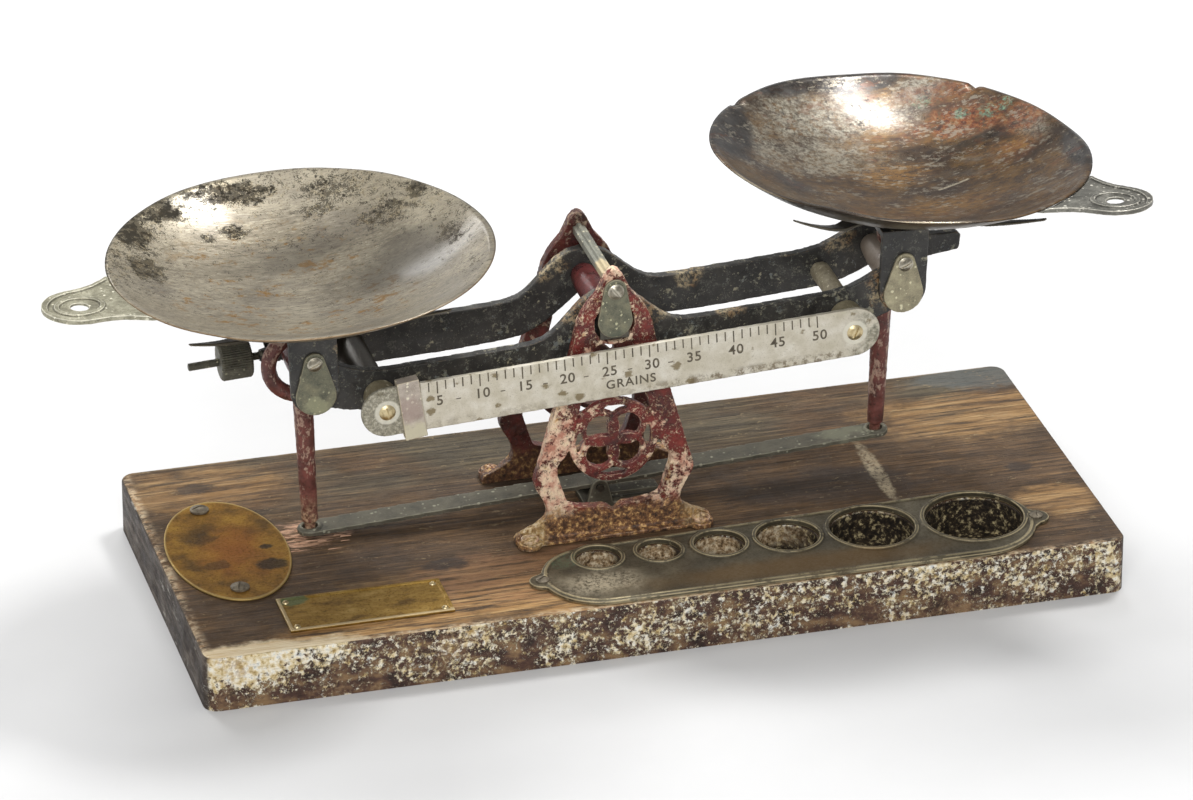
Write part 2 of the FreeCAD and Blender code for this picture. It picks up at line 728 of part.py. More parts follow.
# each arm: direction, reach, height of its tip
LEFT_ARMS = [(215.0, 61.0, 28.4), (322.0, 60.5, 28.0), (35.0, 61.0, 28.2), (143.0, 61.0, 28.0)]
RIGHT_ARMS = [(213.0, 61.0, 31.4), (315.5, 61.5, 27.8), (36.0, 61.0, 28.2), (138.0, 61.0, 28.0)]
SIDES = [
    (-1, "left", 192.8, LEFT_ARMS),
    (1, "right", -44.5, RIGHT_ARMS),
]

for side, name, handle_angle, arms in SIDES:
    which = (side + 1) // 2
    rise = RISE[which]
    save(name + "_yoke", carried(yoke(CHEEK_BOTTOM[which], rise), side))
    save(name + "_bearings", group([carried(b, side) for b in bearings()]))
    save(name + "_stem", carried(stem(side, rise), side))
    claws = spider(arms, rise)
    claws.translate(V(PAN_SHIFT[which], 0, 0))
    save(name + "_spider", carried(claws, side))
    covers = []
    heads = []
    for out, angle in ((-1, -25), (1, 35)):
        y_a = min(out * CHEEK_OUT, out * (CHEEK_OUT + 1.2))
        covers.append(carried(teardrop(0, 7.9 - CHEEK_BOTTOM[which], 7.8, 7.6, 4.0, y_a, y_a + 1.2), side))
        y_face = out * (CHEEK_OUT + 1.2)
        heads.append(carried(slotted_head_y(0, 7.4, 2.9, 1.6, y_face, out, angle), side))
    save(name + "_cheek_covers", group(covers))
    save(name + "_cover_screws", group(heads))
    # the loose pan sits a little to the right of its stem; the right one is rolled over
    # slightly in its rest, about the middle of its own ball
    dish = pan_dish()
    handle = pan_handle(handle_angle, HANDLE_RISE[which])
    ball_r = (PAN_R * PAN_R + PAN_DEPTH * PAN_DEPTH) / (2 * PAN_DEPTH)
    towards = math.radians(PAN_TIP_TOWARDS)
    tip_axis = V(math.sin(towards), -math.cos(towards), 0)
    slip = PAN_TIP_SHIFT[which]
    for piece in (dish, handle):
        piece.rotate(V(0, 0, PAN_SEAT + ball_r), tip_axis, PAN_TIP[which])
        piece.translate(V(PAN_SHIFT[which] + slip[0], slip[1], rise + PAN_GAP))
    save(name + "_pan_dish", carried(dish, side))
    save(name + "_pan_handle", carried(handle, side))


# ---------------------------------------------------------------- weight rack
def capsule(x0, y0, r0, x1, y1, r1):
    # plate outline: two round ends joined by straight tangents
    dx = x1 - x0
    dy = y1 - y0
    d = math.hypot(dx, dy)
    base = math.atan2(dy, dx)
    t = math.acos((r0 - r1) / d)
    pts = []
    steps = 32
    for i in range(steps + 1):
        a = base - t + 2 * t * i / steps
        pts.append((x1 + r1 * math.cos(a), y1 + r1 * math.sin(a)))
    for i in range(steps + 1):
        a = base + t + (2 * math.pi - 2 * t) * i / steps
        pts.append((x0 + r0 * math.cos(a), y0 + r0 * math.sin(a)))
    return pts


RACK_Z = BASE_HEIGHT
ENDS = (-22.0, -53.2, 22.0, 123.4, -50.2, 25.4)
rack = plate_xy(capsule(*ENDS), RACK_Z, RACK_Z + RACK_THICK)
LUGS = ((-44.0, -52.6), (149.4, -52.2))
for x, y in LUGS:
    rack = rack.fuse(rod_z(x, y, 5.0, RACK_Z, RACK_Z + RACK_THICK))
WEB_LEFT = [(-44.6, -47.7), (-34, -40), (-34, -66), (-44.6, -57.5)]
WEB_RIGHT = [(150, -47.3), (140, -38), (140, -66), (150, -57.1)]
for web in (WEB_LEFT, WEB_RIGHT):
    rack = rack.fuse(plate_xy(web, RACK_Z, RACK_Z + RACK_THICK))
bead = plate_xy(
    capsule(ENDS[0], ENDS[1], ENDS[2] - 0.9, ENDS[3], ENDS[4], ENDS[5] - 0.9),
    RACK_Z + RACK_THICK - 0.2,
    RACK_Z + RACK_THICK + 0.6,
)
inside = capsule(ENDS[0], ENDS[1], ENDS[2] - 2.3, ENDS[3], ENDS[4], ENDS[5] - 2.3)
bead = bead.cut(plate_xy(inside, RACK_Z, RACK_Z + 5))
rack = rack.fuse(bead)
for x, y, r, depth in WELLS:
    rack = rack.fuse(rod_z(x, y, r + 1.6, RACK_Z + 0.5, RACK_Z + RACK_THICK + 0.7))
for x, y, r, depth in WELLS:
    rack = rack.cut(rod_z(x, y, r, RACK_Z - 1, RACK_Z + 5))
for x, y in LUGS:
    rack = rack.cut(rod_z(x, y, 2.8, RACK_Z + RACK_THICK, RACK_Z + 5))
save("weight_rack", rack.removeSplitter())
heads = []
for (x, y), angle in zip(LUGS, (30, 80)):
    heads.append(slotted_head_z(x, y, 2.6, 1.4, RACK_Z + RACK_THICK, angle))
save("rack_screws", group(heads))


# ---------------------------------------------------------------- tag and nameplate
tag_pts = []
for i in range(64):
    a = 2 * math.pi * i / 64
    tag_pts.append((-151.5 + 23.0 * math.cos(a), 3.0 + 40.0 * math.sin(a)))
tag = plate_xy(tag_pts, BASE_HEIGHT, BASE_HEIGHT + 1.0)
save("oval_tag", tag)
heads = []
for x, y, angle in ((-155.0, 36.6, 15), (-153.6, -27.3, 70)):
    heads.append(slotted_head_z(x, y, 3.6, 1.8, BASE_HEIGHT + 1.0, angle))
save("tag_screws", group(heads))

name_x0 = -143.0
name_x1 = -80.5
name_y0 = -65.0
name_y1 = -39.5
plate = box(name_x0, name_x1, name_y0, name_y1, BASE_HEIGHT, BASE_HEIGHT + 0.8)
frame_outer = box(name_x0, name_x1, name_y0, name_y1, BASE_HEIGHT + 0.7, BASE_HEIGHT + 1.2)
frame_inner = box(name_x0 + 1.4, name_x1 - 1.4, name_y0 + 1.4, name_y1 - 1.4, 20, BASE_HEIGHT + 3)
plate = plate.fuse(frame_outer.cut(frame_inner))
save("nameplate", plate.removeSplitter())
pins = []
for x in (name_x0 + 3.2, name_x1 - 3.2):
    for y in (name_y0 + 3.2, name_y1 - 3.2):
        pin = Part.makeSphere(1.5, V(x, y, BASE_HEIGHT + 0.1))
        pins.append(pin.common(rod_z(x, y, 3.0, BASE_HEIGHT + 0.8, BASE_HEIGHT + 4)))
save("nameplate_pins", group(pins))
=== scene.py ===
import json
import math

import bmesh
import bpy
from mathutils import Matrix, Vector, noise

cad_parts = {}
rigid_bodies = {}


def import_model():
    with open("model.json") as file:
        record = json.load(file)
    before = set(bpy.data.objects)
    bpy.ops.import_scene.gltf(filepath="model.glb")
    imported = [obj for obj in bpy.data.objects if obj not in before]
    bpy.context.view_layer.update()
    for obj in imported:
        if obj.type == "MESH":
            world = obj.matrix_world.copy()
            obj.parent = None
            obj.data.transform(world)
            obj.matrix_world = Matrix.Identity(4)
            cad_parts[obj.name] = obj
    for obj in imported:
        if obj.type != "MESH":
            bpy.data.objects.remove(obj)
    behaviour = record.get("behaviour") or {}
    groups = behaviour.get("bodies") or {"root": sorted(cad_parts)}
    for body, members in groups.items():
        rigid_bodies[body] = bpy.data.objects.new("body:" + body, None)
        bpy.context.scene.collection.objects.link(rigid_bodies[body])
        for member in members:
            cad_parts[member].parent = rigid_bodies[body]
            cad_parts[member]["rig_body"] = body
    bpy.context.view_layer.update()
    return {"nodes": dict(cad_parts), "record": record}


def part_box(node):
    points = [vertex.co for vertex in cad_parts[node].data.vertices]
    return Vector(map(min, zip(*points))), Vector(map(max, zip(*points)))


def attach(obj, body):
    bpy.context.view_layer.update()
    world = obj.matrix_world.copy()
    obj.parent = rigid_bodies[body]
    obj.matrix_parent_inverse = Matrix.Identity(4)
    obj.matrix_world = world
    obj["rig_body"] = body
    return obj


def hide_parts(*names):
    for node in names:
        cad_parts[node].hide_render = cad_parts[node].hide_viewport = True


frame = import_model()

NODES = frame["nodes"]
MM = 0.001

# ---------------------------------------------------------------- places taken over from the frame (mm)
PIVOT = Vector((-7.5, 7.0, 106.0))
REST_TILT = math.radians(3.0)
BOARD_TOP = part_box("base_board")[1].z / MM
GRAIN_FACE_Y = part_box("grain_bar")[0].y / MM
GRAIN_TOP = -3.8
TICK_STEP = 3.264
TICK_LAST = 77.0


def beam_place(x, y, z):
    """A point given in the level beam's own frame (x, z from the middle knife), at rest, in metres."""
    c, s = math.cos(REST_TILT), math.sin(REST_TILT)
    return Vector((PIVOT.x + x * c - z * s, y, PIVOT.z + x * s + z * c)) * MM


# ---------------------------------------------------------------- node materials
def lin(r, g, b):
    """Scene colour from display values of 0 to 255."""
    out = []
    for v in (r, g, b):
        v = v / 255.0
        out.append(v / 12.92 if v <= 0.04045 else ((v + 0.055) / 1.055) ** 2.4)
    return tuple(out)


class Paint:
    """One node material. Positions are millimetres in the row frame; each method returns a socket."""

    def __init__(self, name):
        self.mat = bpy.data.materials.new(name)
        self.mat.use_nodes = True
        self.nodes = self.mat.node_tree.nodes
        self.links = self.mat.node_tree.links
        self.nodes.clear()
        out = self.nodes.new("ShaderNodeOutputMaterial")
        self.bsdf = self.nodes.new("ShaderNodeBsdfPrincipled")
        self.links.new(self.bsdf.outputs[0], out.inputs[0])
        coord = self.nodes.new("ShaderNodeTexCoord")
        self.place = self.vector("SCALE", coord.outputs["Object"], scale=1000.0)
        parts = self.nodes.new("ShaderNodeSeparateXYZ")
        self.links.new(self.place, parts.inputs[0])
        self.x, self.y, self.z = parts.outputs
        facing = self.nodes.new("ShaderNodeSeparateXYZ")
        self.links.new(coord.outputs["Normal"], facing.inputs[0])
        self.nx, self.ny, self.nz = facing.outputs
        self.height = None

    def put(self, socket, value):
        if isinstance(value, bpy.types.NodeSocket):
            self.links.new(value, socket)
        elif socket.type == "RGBA":
            socket.default_value = (*value, 1.0)
        else:
            socket.default_value = value

    def vector(self, operation, a, b=None, scale=None):
        node = self.nodes.new("ShaderNodeVectorMath")
        node.operation = operation
        self.put(node.inputs[0], a)
        if b is not None:
            self.put(node.inputs[1], b)
        if scale is not None:
            self.put(node.inputs[3], scale)
        return node.outputs["Value"] if operation == "LENGTH" else node.outputs[0]

    def math(self, operation, a, b=0.0, clamp=False):
        node = self.nodes.new("ShaderNodeMath")
        node.operation = operation
        node.use_clamp = clamp
        self.put(node.inputs[0], a)
        self.put(node.inputs[1], b)
        return node.outputs[0]

    def dot(self, a, b):
        node = self.nodes.new("ShaderNodeVectorMath")
        node.operation = "DOT_PRODUCT"
        self.put(node.inputs[0], a)
        self.put(node.inputs[1], b)
        return node.outputs["Value"]

    def times(self, *values):
        out = values[0]
        for v in values[1:]:
            out = self.math("MULTIPLY", out, v)
        return out

    def most(self, *values):
        out = values[0]
        for v in values[1:]:
            out = self.math("MAXIMUM", out, v)
        return out

    def step(self, value, low, high, to_low=0.0, to_high=1.0):
        """Smooth step: to_low at low, to_high at high."""
        node = self.nodes.new("ShaderNodeMapRange")
        node.interpolation_type = "SMOOTHSTEP"
        self.put(node.inputs["Value"], value)
        node.inputs["From Min"].default_value = low
        node.inputs["From Max"].default_value = high
        node.inputs["To Min"].default_value = to_low
        node.inputs["To Max"].default_value = to_high
        return node.outputs[0]

    def noise(self, per_mm, detail=4.0, rough=0.55, stretch=(1, 1, 1), shift=0.0, warp=0.0):
        node = self.nodes.new("ShaderNodeTexNoise")
        where = self.vector("MULTIPLY", self.place, stretch)
        where = self.vector("ADD", where, (shift, shift * 1.7, shift * 2.3))
        self.put(node.inputs["Vector"], where)
        node.inputs["Scale"].default_value = per_mm
        node.inputs["Detail"].default_value = detail
        node.inputs["Roughness"].default_value = rough
        node.inputs["Distortion"].default_value = warp
        return node.outputs[0]

    def dots(self, per_mm, largest, soft=0.12, stretch=(1, 1, 1), shift=0.0, ragged=0.25):
        """Round spots of random size with uneven edges, one to a cell at most."""
        node = self.nodes.new("ShaderNodeTexVoronoi")
        where = self.vector("MULTIPLY", self.place, stretch)
        where = self.vector("ADD", where, (shift, shift * 1.3, shift * 2.1))
        self.put(node.inputs["Vector"], where)
        node.inputs["Scale"].default_value = per_mm
        size = self.nodes.new("ShaderNodeSeparateColor")
        self.links.new(node.outputs["Color"], size.inputs[0])
        radius = self.times(self.math("POWER", size.outputs[0], 2.0), largest)
        edge = self.times(self.math("SUBTRACT", self.noise(per_mm * 3.0, 3.0, 0.6, stretch, shift), 0.5), ragged * 2)
        gap = self.math("SUBTRACT", radius, self.math("ADD", node.outputs["Distance"], edge))
        return self.step(gap, -soft / 2, soft / 2)

    def spot(self, centre, size, ragged=0.5, per_mm=0.12, soft=0.35, shift=0.0):
        """A blotch with an uneven edge about a point; size is its three half widths."""
        away = self.vector("SUBTRACT", self.place, centre)
        away = self.vector("DIVIDE", away, size)
        far = self.vector("LENGTH", away)
        edge = self.times(self.math("SUBTRACT", self.noise(per_mm, 6.0, 0.68, shift=shift), 0.5), ragged * 2.6)
        return self.step(self.math("ADD", far, edge), 1.0 + soft / 2, 1.0 - soft)

    def flakes(self, per_mm, share, soft=0.04, stretch=(1, 1, 1), shift=0.0, crowd=0.5, extra=0.0):
        """Chips of paint or corrosion in clusters; a larger share leaves fewer. extra adds to the crowding."""
        fine = self.noise(per_mm, 8.0, 0.72, stretch, shift)
        cluster = self.math("SUBTRACT", self.noise(per_mm * 0.22, 3.0, 0.6, stretch, shift + 9.0), 0.5)
        value = self.math("ADD", self.math("ADD", fine, self.times(cluster, crowd)), extra)
        return self.step(value, share, share + soft)

    def tones(self, value, *stops):
        """Colour ramp: stops are (place, colour)."""
        node = self.nodes.new("ShaderNodeValToRGB")
        self.put(node.inputs[0], value)
        ramp = node.color_ramp
        while len(ramp.elements) < len(stops):
            ramp.elements.new(0.5)
        for element, (place, colour) in zip(ramp.elements, stops):
            element.position = place
            element.color = (*colour, 1.0)
        return node.outputs[0]

    def mix(self, amount, a, b, blend="MIX"):
        node = self.nodes.new("ShaderNodeMix")
        node.data_type = "RGBA"
        node.blend_type = blend
        self.put(node.inputs[0], amount)
        self.put(node.inputs[6], a)
        self.put(node.inputs[7], b)
        return node.outputs[2]

    def edges(self, low=0.51, high=0.56):
        """1 on outward edges of a finely meshed piece, 0 elsewhere."""
        geometry = self.nodes.new("ShaderNodeNewGeometry")
        return self.step(geometry.outputs["Pointiness"], low, high)

    def film(self, weight, roughness, ior):
        """A smooth clear film (wax, grease, handling) whose highlight stays white over the metal below."""
        self.put(self.bsdf.inputs["Coat Weight"], weight)
        self.bsdf.inputs["Coat Roughness"].default_value = roughness
        self.bsdf.inputs["Coat IOR"].default_value = ior

    def finish(self, colour, roughness, metallic=0.0, height=None, depth_mm=0.2, strength=1.0):
        self.put(self.bsdf.inputs["Base Color"], colour)
        self.put(self.bsdf.inputs["Roughness"], roughness)
        self.put(self.bsdf.inputs["Metallic"], metallic)
        if height is not None:
            bump = self.nodes.new("ShaderNodeBump")
            bump.inputs["Strength"].default_value = strength
            bump.inputs["Distance"].default_value = depth_mm * MM
            self.put(bump.inputs["Height"], height)
            self.links.new(bump.outputs[0], self.bsdf.inputs["Normal"])
        return self.mat


def wood():
    """Old dark varnish on a grained board; the front edge carries flaking cream paint."""
    p = Paint("base_wood")
    top = p.step(p.nz, 0.55, 0.8)
    front = p.step(p.ny, -0.55, -0.8)
    ends = p.step(p.math("ABSOLUTE", p.nx), 0.55, 0.8)
    streak = p.noise(0.75, 6.0, 0.62, (0.045, 1.0, 1.0))
    fine = p.noise(2.6, 4.0, 0.7, (0.03, 1.0, 1.0), shift=7.0)
    broad = p.noise(0.028, 3.0, 0.5, (0.5, 1.0, 1.0), shift=3.0)
    pores = p.step(p.noise(3.4, 2.0, 0.6, (0.045, 1.0, 1.0), shift=21.0), 0.60, 0.70)
    varnish = p.tones(streak, (0.3, lin(36, 28, 20)), (0.48, lin(74, 57, 41)), (0.6, lin(96, 74, 52)), (0.74, lin(140, 110, 74)))
    varnish = p.mix(p.step(fine, 0.42, 0.66, 0.0, 0.6), varnish, lin(112, 86, 58))
    mottle = p.step(p.noise(0.12, 5.0, 0.7, (0.3, 1.0, 1.0), shift=73.0), 0.44, 0.6)
    varnish = p.mix(p.times(mottle, 0.5), varnish, lin(52, 41, 31))
    dull = p.tones(streak, (0.3, lin(44, 38, 30)), (0.48, lin(74, 66, 52)), (0.6, lin(92, 82, 64)), (0.75, lin(130, 114, 86)))
    rear = p.times(p.step(p.y, 5.0, 60.0), p.step(broad, 0.38, 0.6))
    colour = p.mix(rear, varnish, dull)
    worn = p.tones(streak, (0.3, lin(126, 92, 54)), (0.5, lin(176, 136, 86)), (0.7, lin(216, 180, 126)))
    strips = p.step(p.noise(0.4, 6.0, 0.72, (0.08, 1.0, 1.0), shift=14.0), 0.38, 0.56)
    golden = p.most(
        p.spot((-112.0, -69.0, 22.0), (48.0, 9.0, 30.0), 0.5, 0.05),
        p.spot((-45.0, -60.0, 22.0), (46.0, 20.0, 30.0), 0.5, 0.05, shift=2.0),
        p.times(p.spot((-150.0, 55.0, 22.0), (34.0, 20.0, 30.0), 0.6, 0.05, shift=4.0), 0.4),
        p.times(p.spot((150.0, 40.0, 22.0), (40.0, 22.0, 30.0), 0.7, 0.05, shift=6.0), 0.45),
        p.times(p.spot((-70.0, -40.0, 22.0), (60.0, 12.0, 30.0), 0.7, 0.05, shift=8.0), 0.35),
        p.times(p.spot((160.0, -38.0, 22.0), (18.0, 14.0, 30.0), 0.6, 0.06, shift=9.0), 0.6),
    )
    colour = p.mix(p.times(golden, strips), colour, worn)
    rosy = p.times(p.spot((-50.0, -44.0, 22.0), (46.0, 22.0, 30.0), 0.7, 0.04, shift=31.0), strips, 0.55)
    colour = p.mix(rosy, colour, lin(150, 110, 80))
    dark = p.most(
        p.spot((-154.0, 56.0, 22.0), (9.0, 4.0, 30.0), 0.6, 0.2),
        p.spot((-75.0, -28.0, 22.0), (9.0, 5.0, 30.0), 0.6, 0.2, shift=5.0),
        p.spot((157.0, -9.0, 22.0), (6.0, 4.0, 30.0), 0.5, 0.2, shift=5.0),
        p.times(p.spot((84.0, -5.0, 22.0), (46.0, 13.0, 30.0), 0.6, 0.05, shift=11.0), 0.75),
        p.times(p.spot((-30.0, 28.0, 22.0), (44.0, 12.0, 30.0), 0.6, 0.05, shift=12.0), 0.5),
        p.times(p.spot((-112.0, -12.0, 22.0), (28.0, 14.0, 30.0), 0.7, 0.06, shift=13.0), 0.25),
    )
    colour = p.mix(p.times(dark, 0.75), colour, lin(50, 43, 39))
    blue = p.spot((166.0, 68.0, 22.0), (26.0, 12.0, 30.0), 0.7, 0.06, shift=15.0)
    colour = p.mix(p.times(blue, 0.6), colour, lin(88, 93, 92))
    scrape = p.times(
        p.spot((103.0, 1.5, 22.0), (3.2, 25.0, 30.0), 0.5, 0.25, shift=16.0),
        p.step(p.noise(0.5, 5.0, 0.8, shift=17.0), 0.36, 0.56),
    )
    colour = p.mix(p.times(scrape, 0.7), colour, lin(176, 162, 134))
    splinter = p.times(
        p.spot((-120.0, 9.0, 22.0), (16.0, 11.0, 30.0), 0.6, 0.1, shift=18.0),
        p.step(p.noise(1.1, 5.0, 0.7, (0.09, 1.0, 1.0), shift=19.0), 0.46, 0.56),
    )
    colour = p.mix(splinter, colour, lin(196, 156, 128))
    colour = p.mix(p.times(pores, 0.6), colour, lin(46, 36, 28))
    specks = p.flakes(0.9, 0.64, 0.05, (0.5, 1.0, 1.0), shift=5.0, crowd=0.5)
    colour = p.mix(p.times(specks, 0.6), colour, lin(150, 132, 100))
    rim = p.most(
        p.step(p.y, -72.5, -75.6),
        p.times(p.step(p.x, -173.0, -176.6), 0.8),
        p.times(p.step(p.y, 74.0, 76.0), 0.6),
    )
    chips = p.step(p.noise(0.22, 6.0, 0.75, (0.5, 1.0, 1.0), shift=23.0), 0.42, 0.58)
    pale = p.tones(p.noise(0.35, 4.0, 0.6, shift=24.0), (0.35, lin(176, 138, 98)), (0.6, lin(222, 204, 172)))
    colour = p.mix(p.times(rim, chips, 0.85), colour, pale)
    corner = p.spot((-156.0, -76.0, 22.0), (40.0, 8.0, 12.0), 0.5, 0.12, shift=25.0)
    colour = p.mix(p.times(corner, 0.95), colour, p.tones(fine, (0.35, lin(205, 176, 128)), (0.65, lin(240, 228, 200))))

    # flaking paint of the front edge
    ground = p.tones(
        p.noise(0.16, 4.0, 0.6, (0.6, 1.0, 1.0), shift=41.0),
        (0.35, lin(46, 34, 29)),
        (0.5, lin(82, 58, 48)),
        (0.64, lin(140, 112, 80)),
    )
    flake = p.noise(0.42, 8.0, 0.76, shift=42.0)
    flake2 = p.noise(0.9, 5.0, 0.7, shift=44.0)
    crowd = p.step(p.x, -150.0, 60.0, 0.0, 0.02)
    pile = p.times(p.math("SUBTRACT", p.noise(0.075, 5.0, 0.7, shift=47.0), 0.52), 0.42)
    pile = p.math("ADD", pile, p.step(p.z, 1.0, 14.0, -0.03, 0.01))
    top_left = p.times(p.spot((-162.0, -76.0, 20.0), (34.0, 8.0, 11.0), 0.5, 0.1, 0.8, shift=48.0), 0.2)
    crowd = p.math("ADD", p.math("ADD", crowd, pile), top_left)
    mask = p.step(p.math("ADD", flake, crowd), 0.515, 0.555)
    mask2 = p.step(p.math("ADD", flake2, p.times(crowd, 0.6)), 0.575, 0.62)
    tint = p.tones(
        p.noise(0.4, 3.0, 0.6, shift=43.0),
        (0.32, lin(168, 140, 86)),
        (0.45, lin(222, 204, 162)),
        (0.6, lin(244, 238, 222)),
        (0.75, lin(176, 182, 184)),
    )
    edge = p.mix(p.times(mask2, 0.85), ground, lin(216, 206, 176))
    edge = p.mix(mask, edge, tint)
    bare = p.step(p.noise(0.035, 4.0, 0.6, shift=46.0), 0.5, 0.66)
    edge = p.mix(p.times(bare, p.step(flake2, 0.40, 0.60), 0.7), edge, p.tones(flake, (0.4, lin(120, 90, 66)), (0.6, lin(178, 148, 112))))
    side = p.tones(
        p.noise(0.5, 6.0, 0.7, (1.0, 0.12, 0.6), shift=51.0),
        (0.3, lin(40, 33, 29)),
        (0.5, lin(74, 64, 56)),
        (0.68, lin(124, 114, 104)),
    )
    side = p.mix(p.step(p.noise(0.25, 5.0, 0.75, (1.0, 0.3, 1.0), shift=52.0), 0.58, 0.7, 0.0, 0.8), side, lin(186, 182, 172))
    back = p.mix(p.times(mask, 0.35), ground, lin(150, 132, 104))
    whole = p.mix(top, back, colour)
    whole = p.mix(ends, whole, side)
    whole = p.mix(front, whole, edge)
    # painted shade: the pits are dark inside, with pale flecks; the rear walls of the small wells, which face the
    # front, are pale bare wood with painted light on them
    pit = p.times(
        p.step(p.z, 21.9, 21.0),
        p.step(p.math("ABSOLUTE", p.math("ADD", p.y, 44.0)), 26.0, 24.0),
        p.step(p.math("ABSOLUTE", p.math("ADD", p.x, -56.0)), 96.0, 94.0),
    )
    inside = p.tones(p.noise(0.45, 6.0, 0.75, shift=61.0), (0.42, lin(30, 25, 20)), (0.53, lin(66, 54, 40)), (0.63, lin(206, 190, 146)))
    small_wells = p.times(p.step(p.x, 74.0, 44.0), p.step(p.ny, -0.2, -0.7), p.step(p.z, 12.0, 17.0))
    lit_bare_wood = p.tones(p.noise(0.5, 6.0, 0.72, shift=62.0), (0.36, lin(70, 52, 36)), (0.48, lin(176, 146, 108)), (0.6, lin(240, 222, 190)))
    inside = p.mix(small_wells, inside, lit_bare_wood)
    whole = p.mix(pit, whole, inside)
    flakes_up = p.times(p.most(mask, p.times(mask2, 0.5)), p.math("SUBTRACT", 1.0, top))
    height = p.math("ADD", p.times(p.math("ADD", streak, p.times(fine, 0.5)), 0.5), p.times(flakes_up, 0.9))
    height = p.math("SUBTRACT", height, p.times(pores, 0.4))
    rough = p.step(p.noise(0.08, 5.0, 0.7, shift=71.0), 0.3, 0.7, 0.44, 0.74)
    p.bsdf.inputs["Specular IOR Level"].default_value = 0.32
    return p.finish(whole, rough, 0.0, height, 0.45, 0.8)


def stand_paint(name, share, painted_shade_share, shift):
    """Maroon paint on the stand: clustered cream and rust chips, thick on the left leg; brown, ochre-flecked foot; the
    third argument mixes painted shade over the whole colour.
    """
    p = Paint(name)
    cloud = p.noise(0.13, 6.0, 0.7, shift=shift + 1.0)
    colour = p.tones(
        cloud,
        (0.34, lin(52, 24, 20)),
        (0.48, lin(94, 34, 30)),
        (0.62, lin(126, 46, 38)),
        (0.74, lin(150, 82, 66)),
    )
    left = p.times(p.spot((-30.0, -18.0, 52.0), (9.0, 20.0, 30.0), 0.5, 0.08, shift=shift + 2.0), 0.11)
    right = p.times(p.spot((15.0, -18.0, 40.0), (12.0, 20.0, 16.0), 0.5, 0.08, shift=shift + 3.0), 0.08)
    head = p.times(p.step(p.z, 92.0, 112.0), 0.03)
    extra = p.math("ADD", p.math("ADD", left, right), head)
    chips = p.flakes(0.3, share, 0.05, shift=shift + 4.0, crowd=0.45, extra=extra)
    small = p.flakes(1.1, share + 0.02, 0.05, shift=shift + 5.0, crowd=0.35, extra=extra)
    tint = p.tones(
        p.noise(0.22, 4.0, 0.65, shift=shift + 6.0),
        (0.36, lin(184, 126, 104)),
        (0.46, lin(220, 178, 152)),
        (0.58, lin(240, 216, 184)),
        (0.7, lin(196, 152, 98)),
    )
    rust = p.flakes(0.45, 0.54, 0.06, shift=shift + 7.0)
    colour = p.mix(p.times(rust, 0.55), colour, lin(104, 54, 34))
    colour = p.mix(p.times(small, 0.7), colour, tint)
    colour = p.mix(p.times(chips, 0.9), colour, tint)
    pits = p.flakes(0.9, 0.6, 0.05, shift=shift + 8.0)
    colour = p.mix(p.times(pits, 0.6), colour, lin(44, 26, 20))
    foot = p.step(p.math("ADD", p.z, p.times(p.math("SUBTRACT", p.noise(0.2, 4.0, 0.7, shift=shift + 9.0), 0.5), 10.0)), 37.0, 31.0)
    brown = p.tones(
        p.noise(0.5, 6.0, 0.75, shift=shift + 10.0),
        (0.34, lin(52, 38, 30)),
        (0.45, lin(98, 70, 50)),
        (0.54, lin(146, 104, 68)),
        (0.62, lin(224, 184, 120)),
    )
    colour = p.mix(foot, colour, brown)
    tips = p.most(
        p.spot((-39.0, -19.0, 26.0), (6.0, 9.0, 8.0), 0.6, 0.2, shift=shift + 11.0),
        p.times(p.spot((24.0, -19.0, 28.0), (6.0, 9.0, 7.0), 0.8, 0.2, shift=shift + 12.0), 0.6),
    )
    ochre = p.tones(p.noise(0.6, 5.0, 0.7, shift=shift + 13.0), (0.36, lin(120, 88, 52)), (0.5, lin(196, 164, 110)), (0.62, lin(232, 214, 178)))
    colour = p.mix(p.times(tips, 0.9), colour, ochre)
    edge = p.times(p.edges(0.515, 0.565), p.step(p.noise(0.3, 5.0, 0.7, shift=shift + 14.0), 0.42, 0.56), 0.75)
    colour = p.mix(edge, colour, tint)
    # painted shade: a darker copy of the paint, used for the rear frame
    colour = p.mix(painted_shade_share, colour, p.tones(cloud, (0.4, lin(40, 26, 22)), (0.65, lin(78, 42, 34))))
    height = p.math("ADD", p.times(p.most(chips, small), 0.8), p.noise(0.9, 5.0, 0.65, shift=shift + 15.0))
    shine = p.step(cloud, 0.3, 0.7, 0.36, 0.6)
    return p.finish(colour, p.math("ADD", shine, p.times(p.most(chips, small), 0.2)), 0.0, height, 0.3, 0.9)


def rod_paint(name, dark, mid, chip, share, low_tan=None, shift=0.0, rough=0.45):
    """Thin paint on a rod: clouded tones, chips of a paler coat, and corrosion low down."""
    p = Paint(name)
    cloud = p.noise(0.16, 5.0, 0.68, shift=shift + 1.0)
    colour = p.tones(cloud, (0.36, dark), (0.62, mid))
    chips = p.flakes(0.5, share, 0.06, (1.0, 1.0, 0.55), shift=shift + 2.0)
    colour = p.mix(p.times(chips, 0.75), colour, chip)
    pits = p.flakes(1.1, 0.58, 0.05, shift=shift + 3.0)
    colour = p.mix(p.times(pits, 0.6), colour, lin(48, 30, 24))
    if low_tan is not None:
        low = p.times(p.step(p.z, 44.0, 30.0), p.step(p.noise(0.3, 6.0, 0.75, shift=shift + 4.0), 0.38, 0.56))
        colour = p.mix(p.times(low, 0.9), colour, p.tones(p.noise(0.7, 5.0, 0.7, shift=5.0), (0.38, lin(92, 60, 44)), (0.6, low_tan)))
    height = p.math("ADD", p.times(chips, 0.6), p.noise(1.0, 4.0, 0.6, shift=shift + 6.0))
    return p.finish(colour, p.step(cloud, 0.3, 0.7, rough - 0.1, rough + 0.12), 0.0, height, 0.14, 0.8)


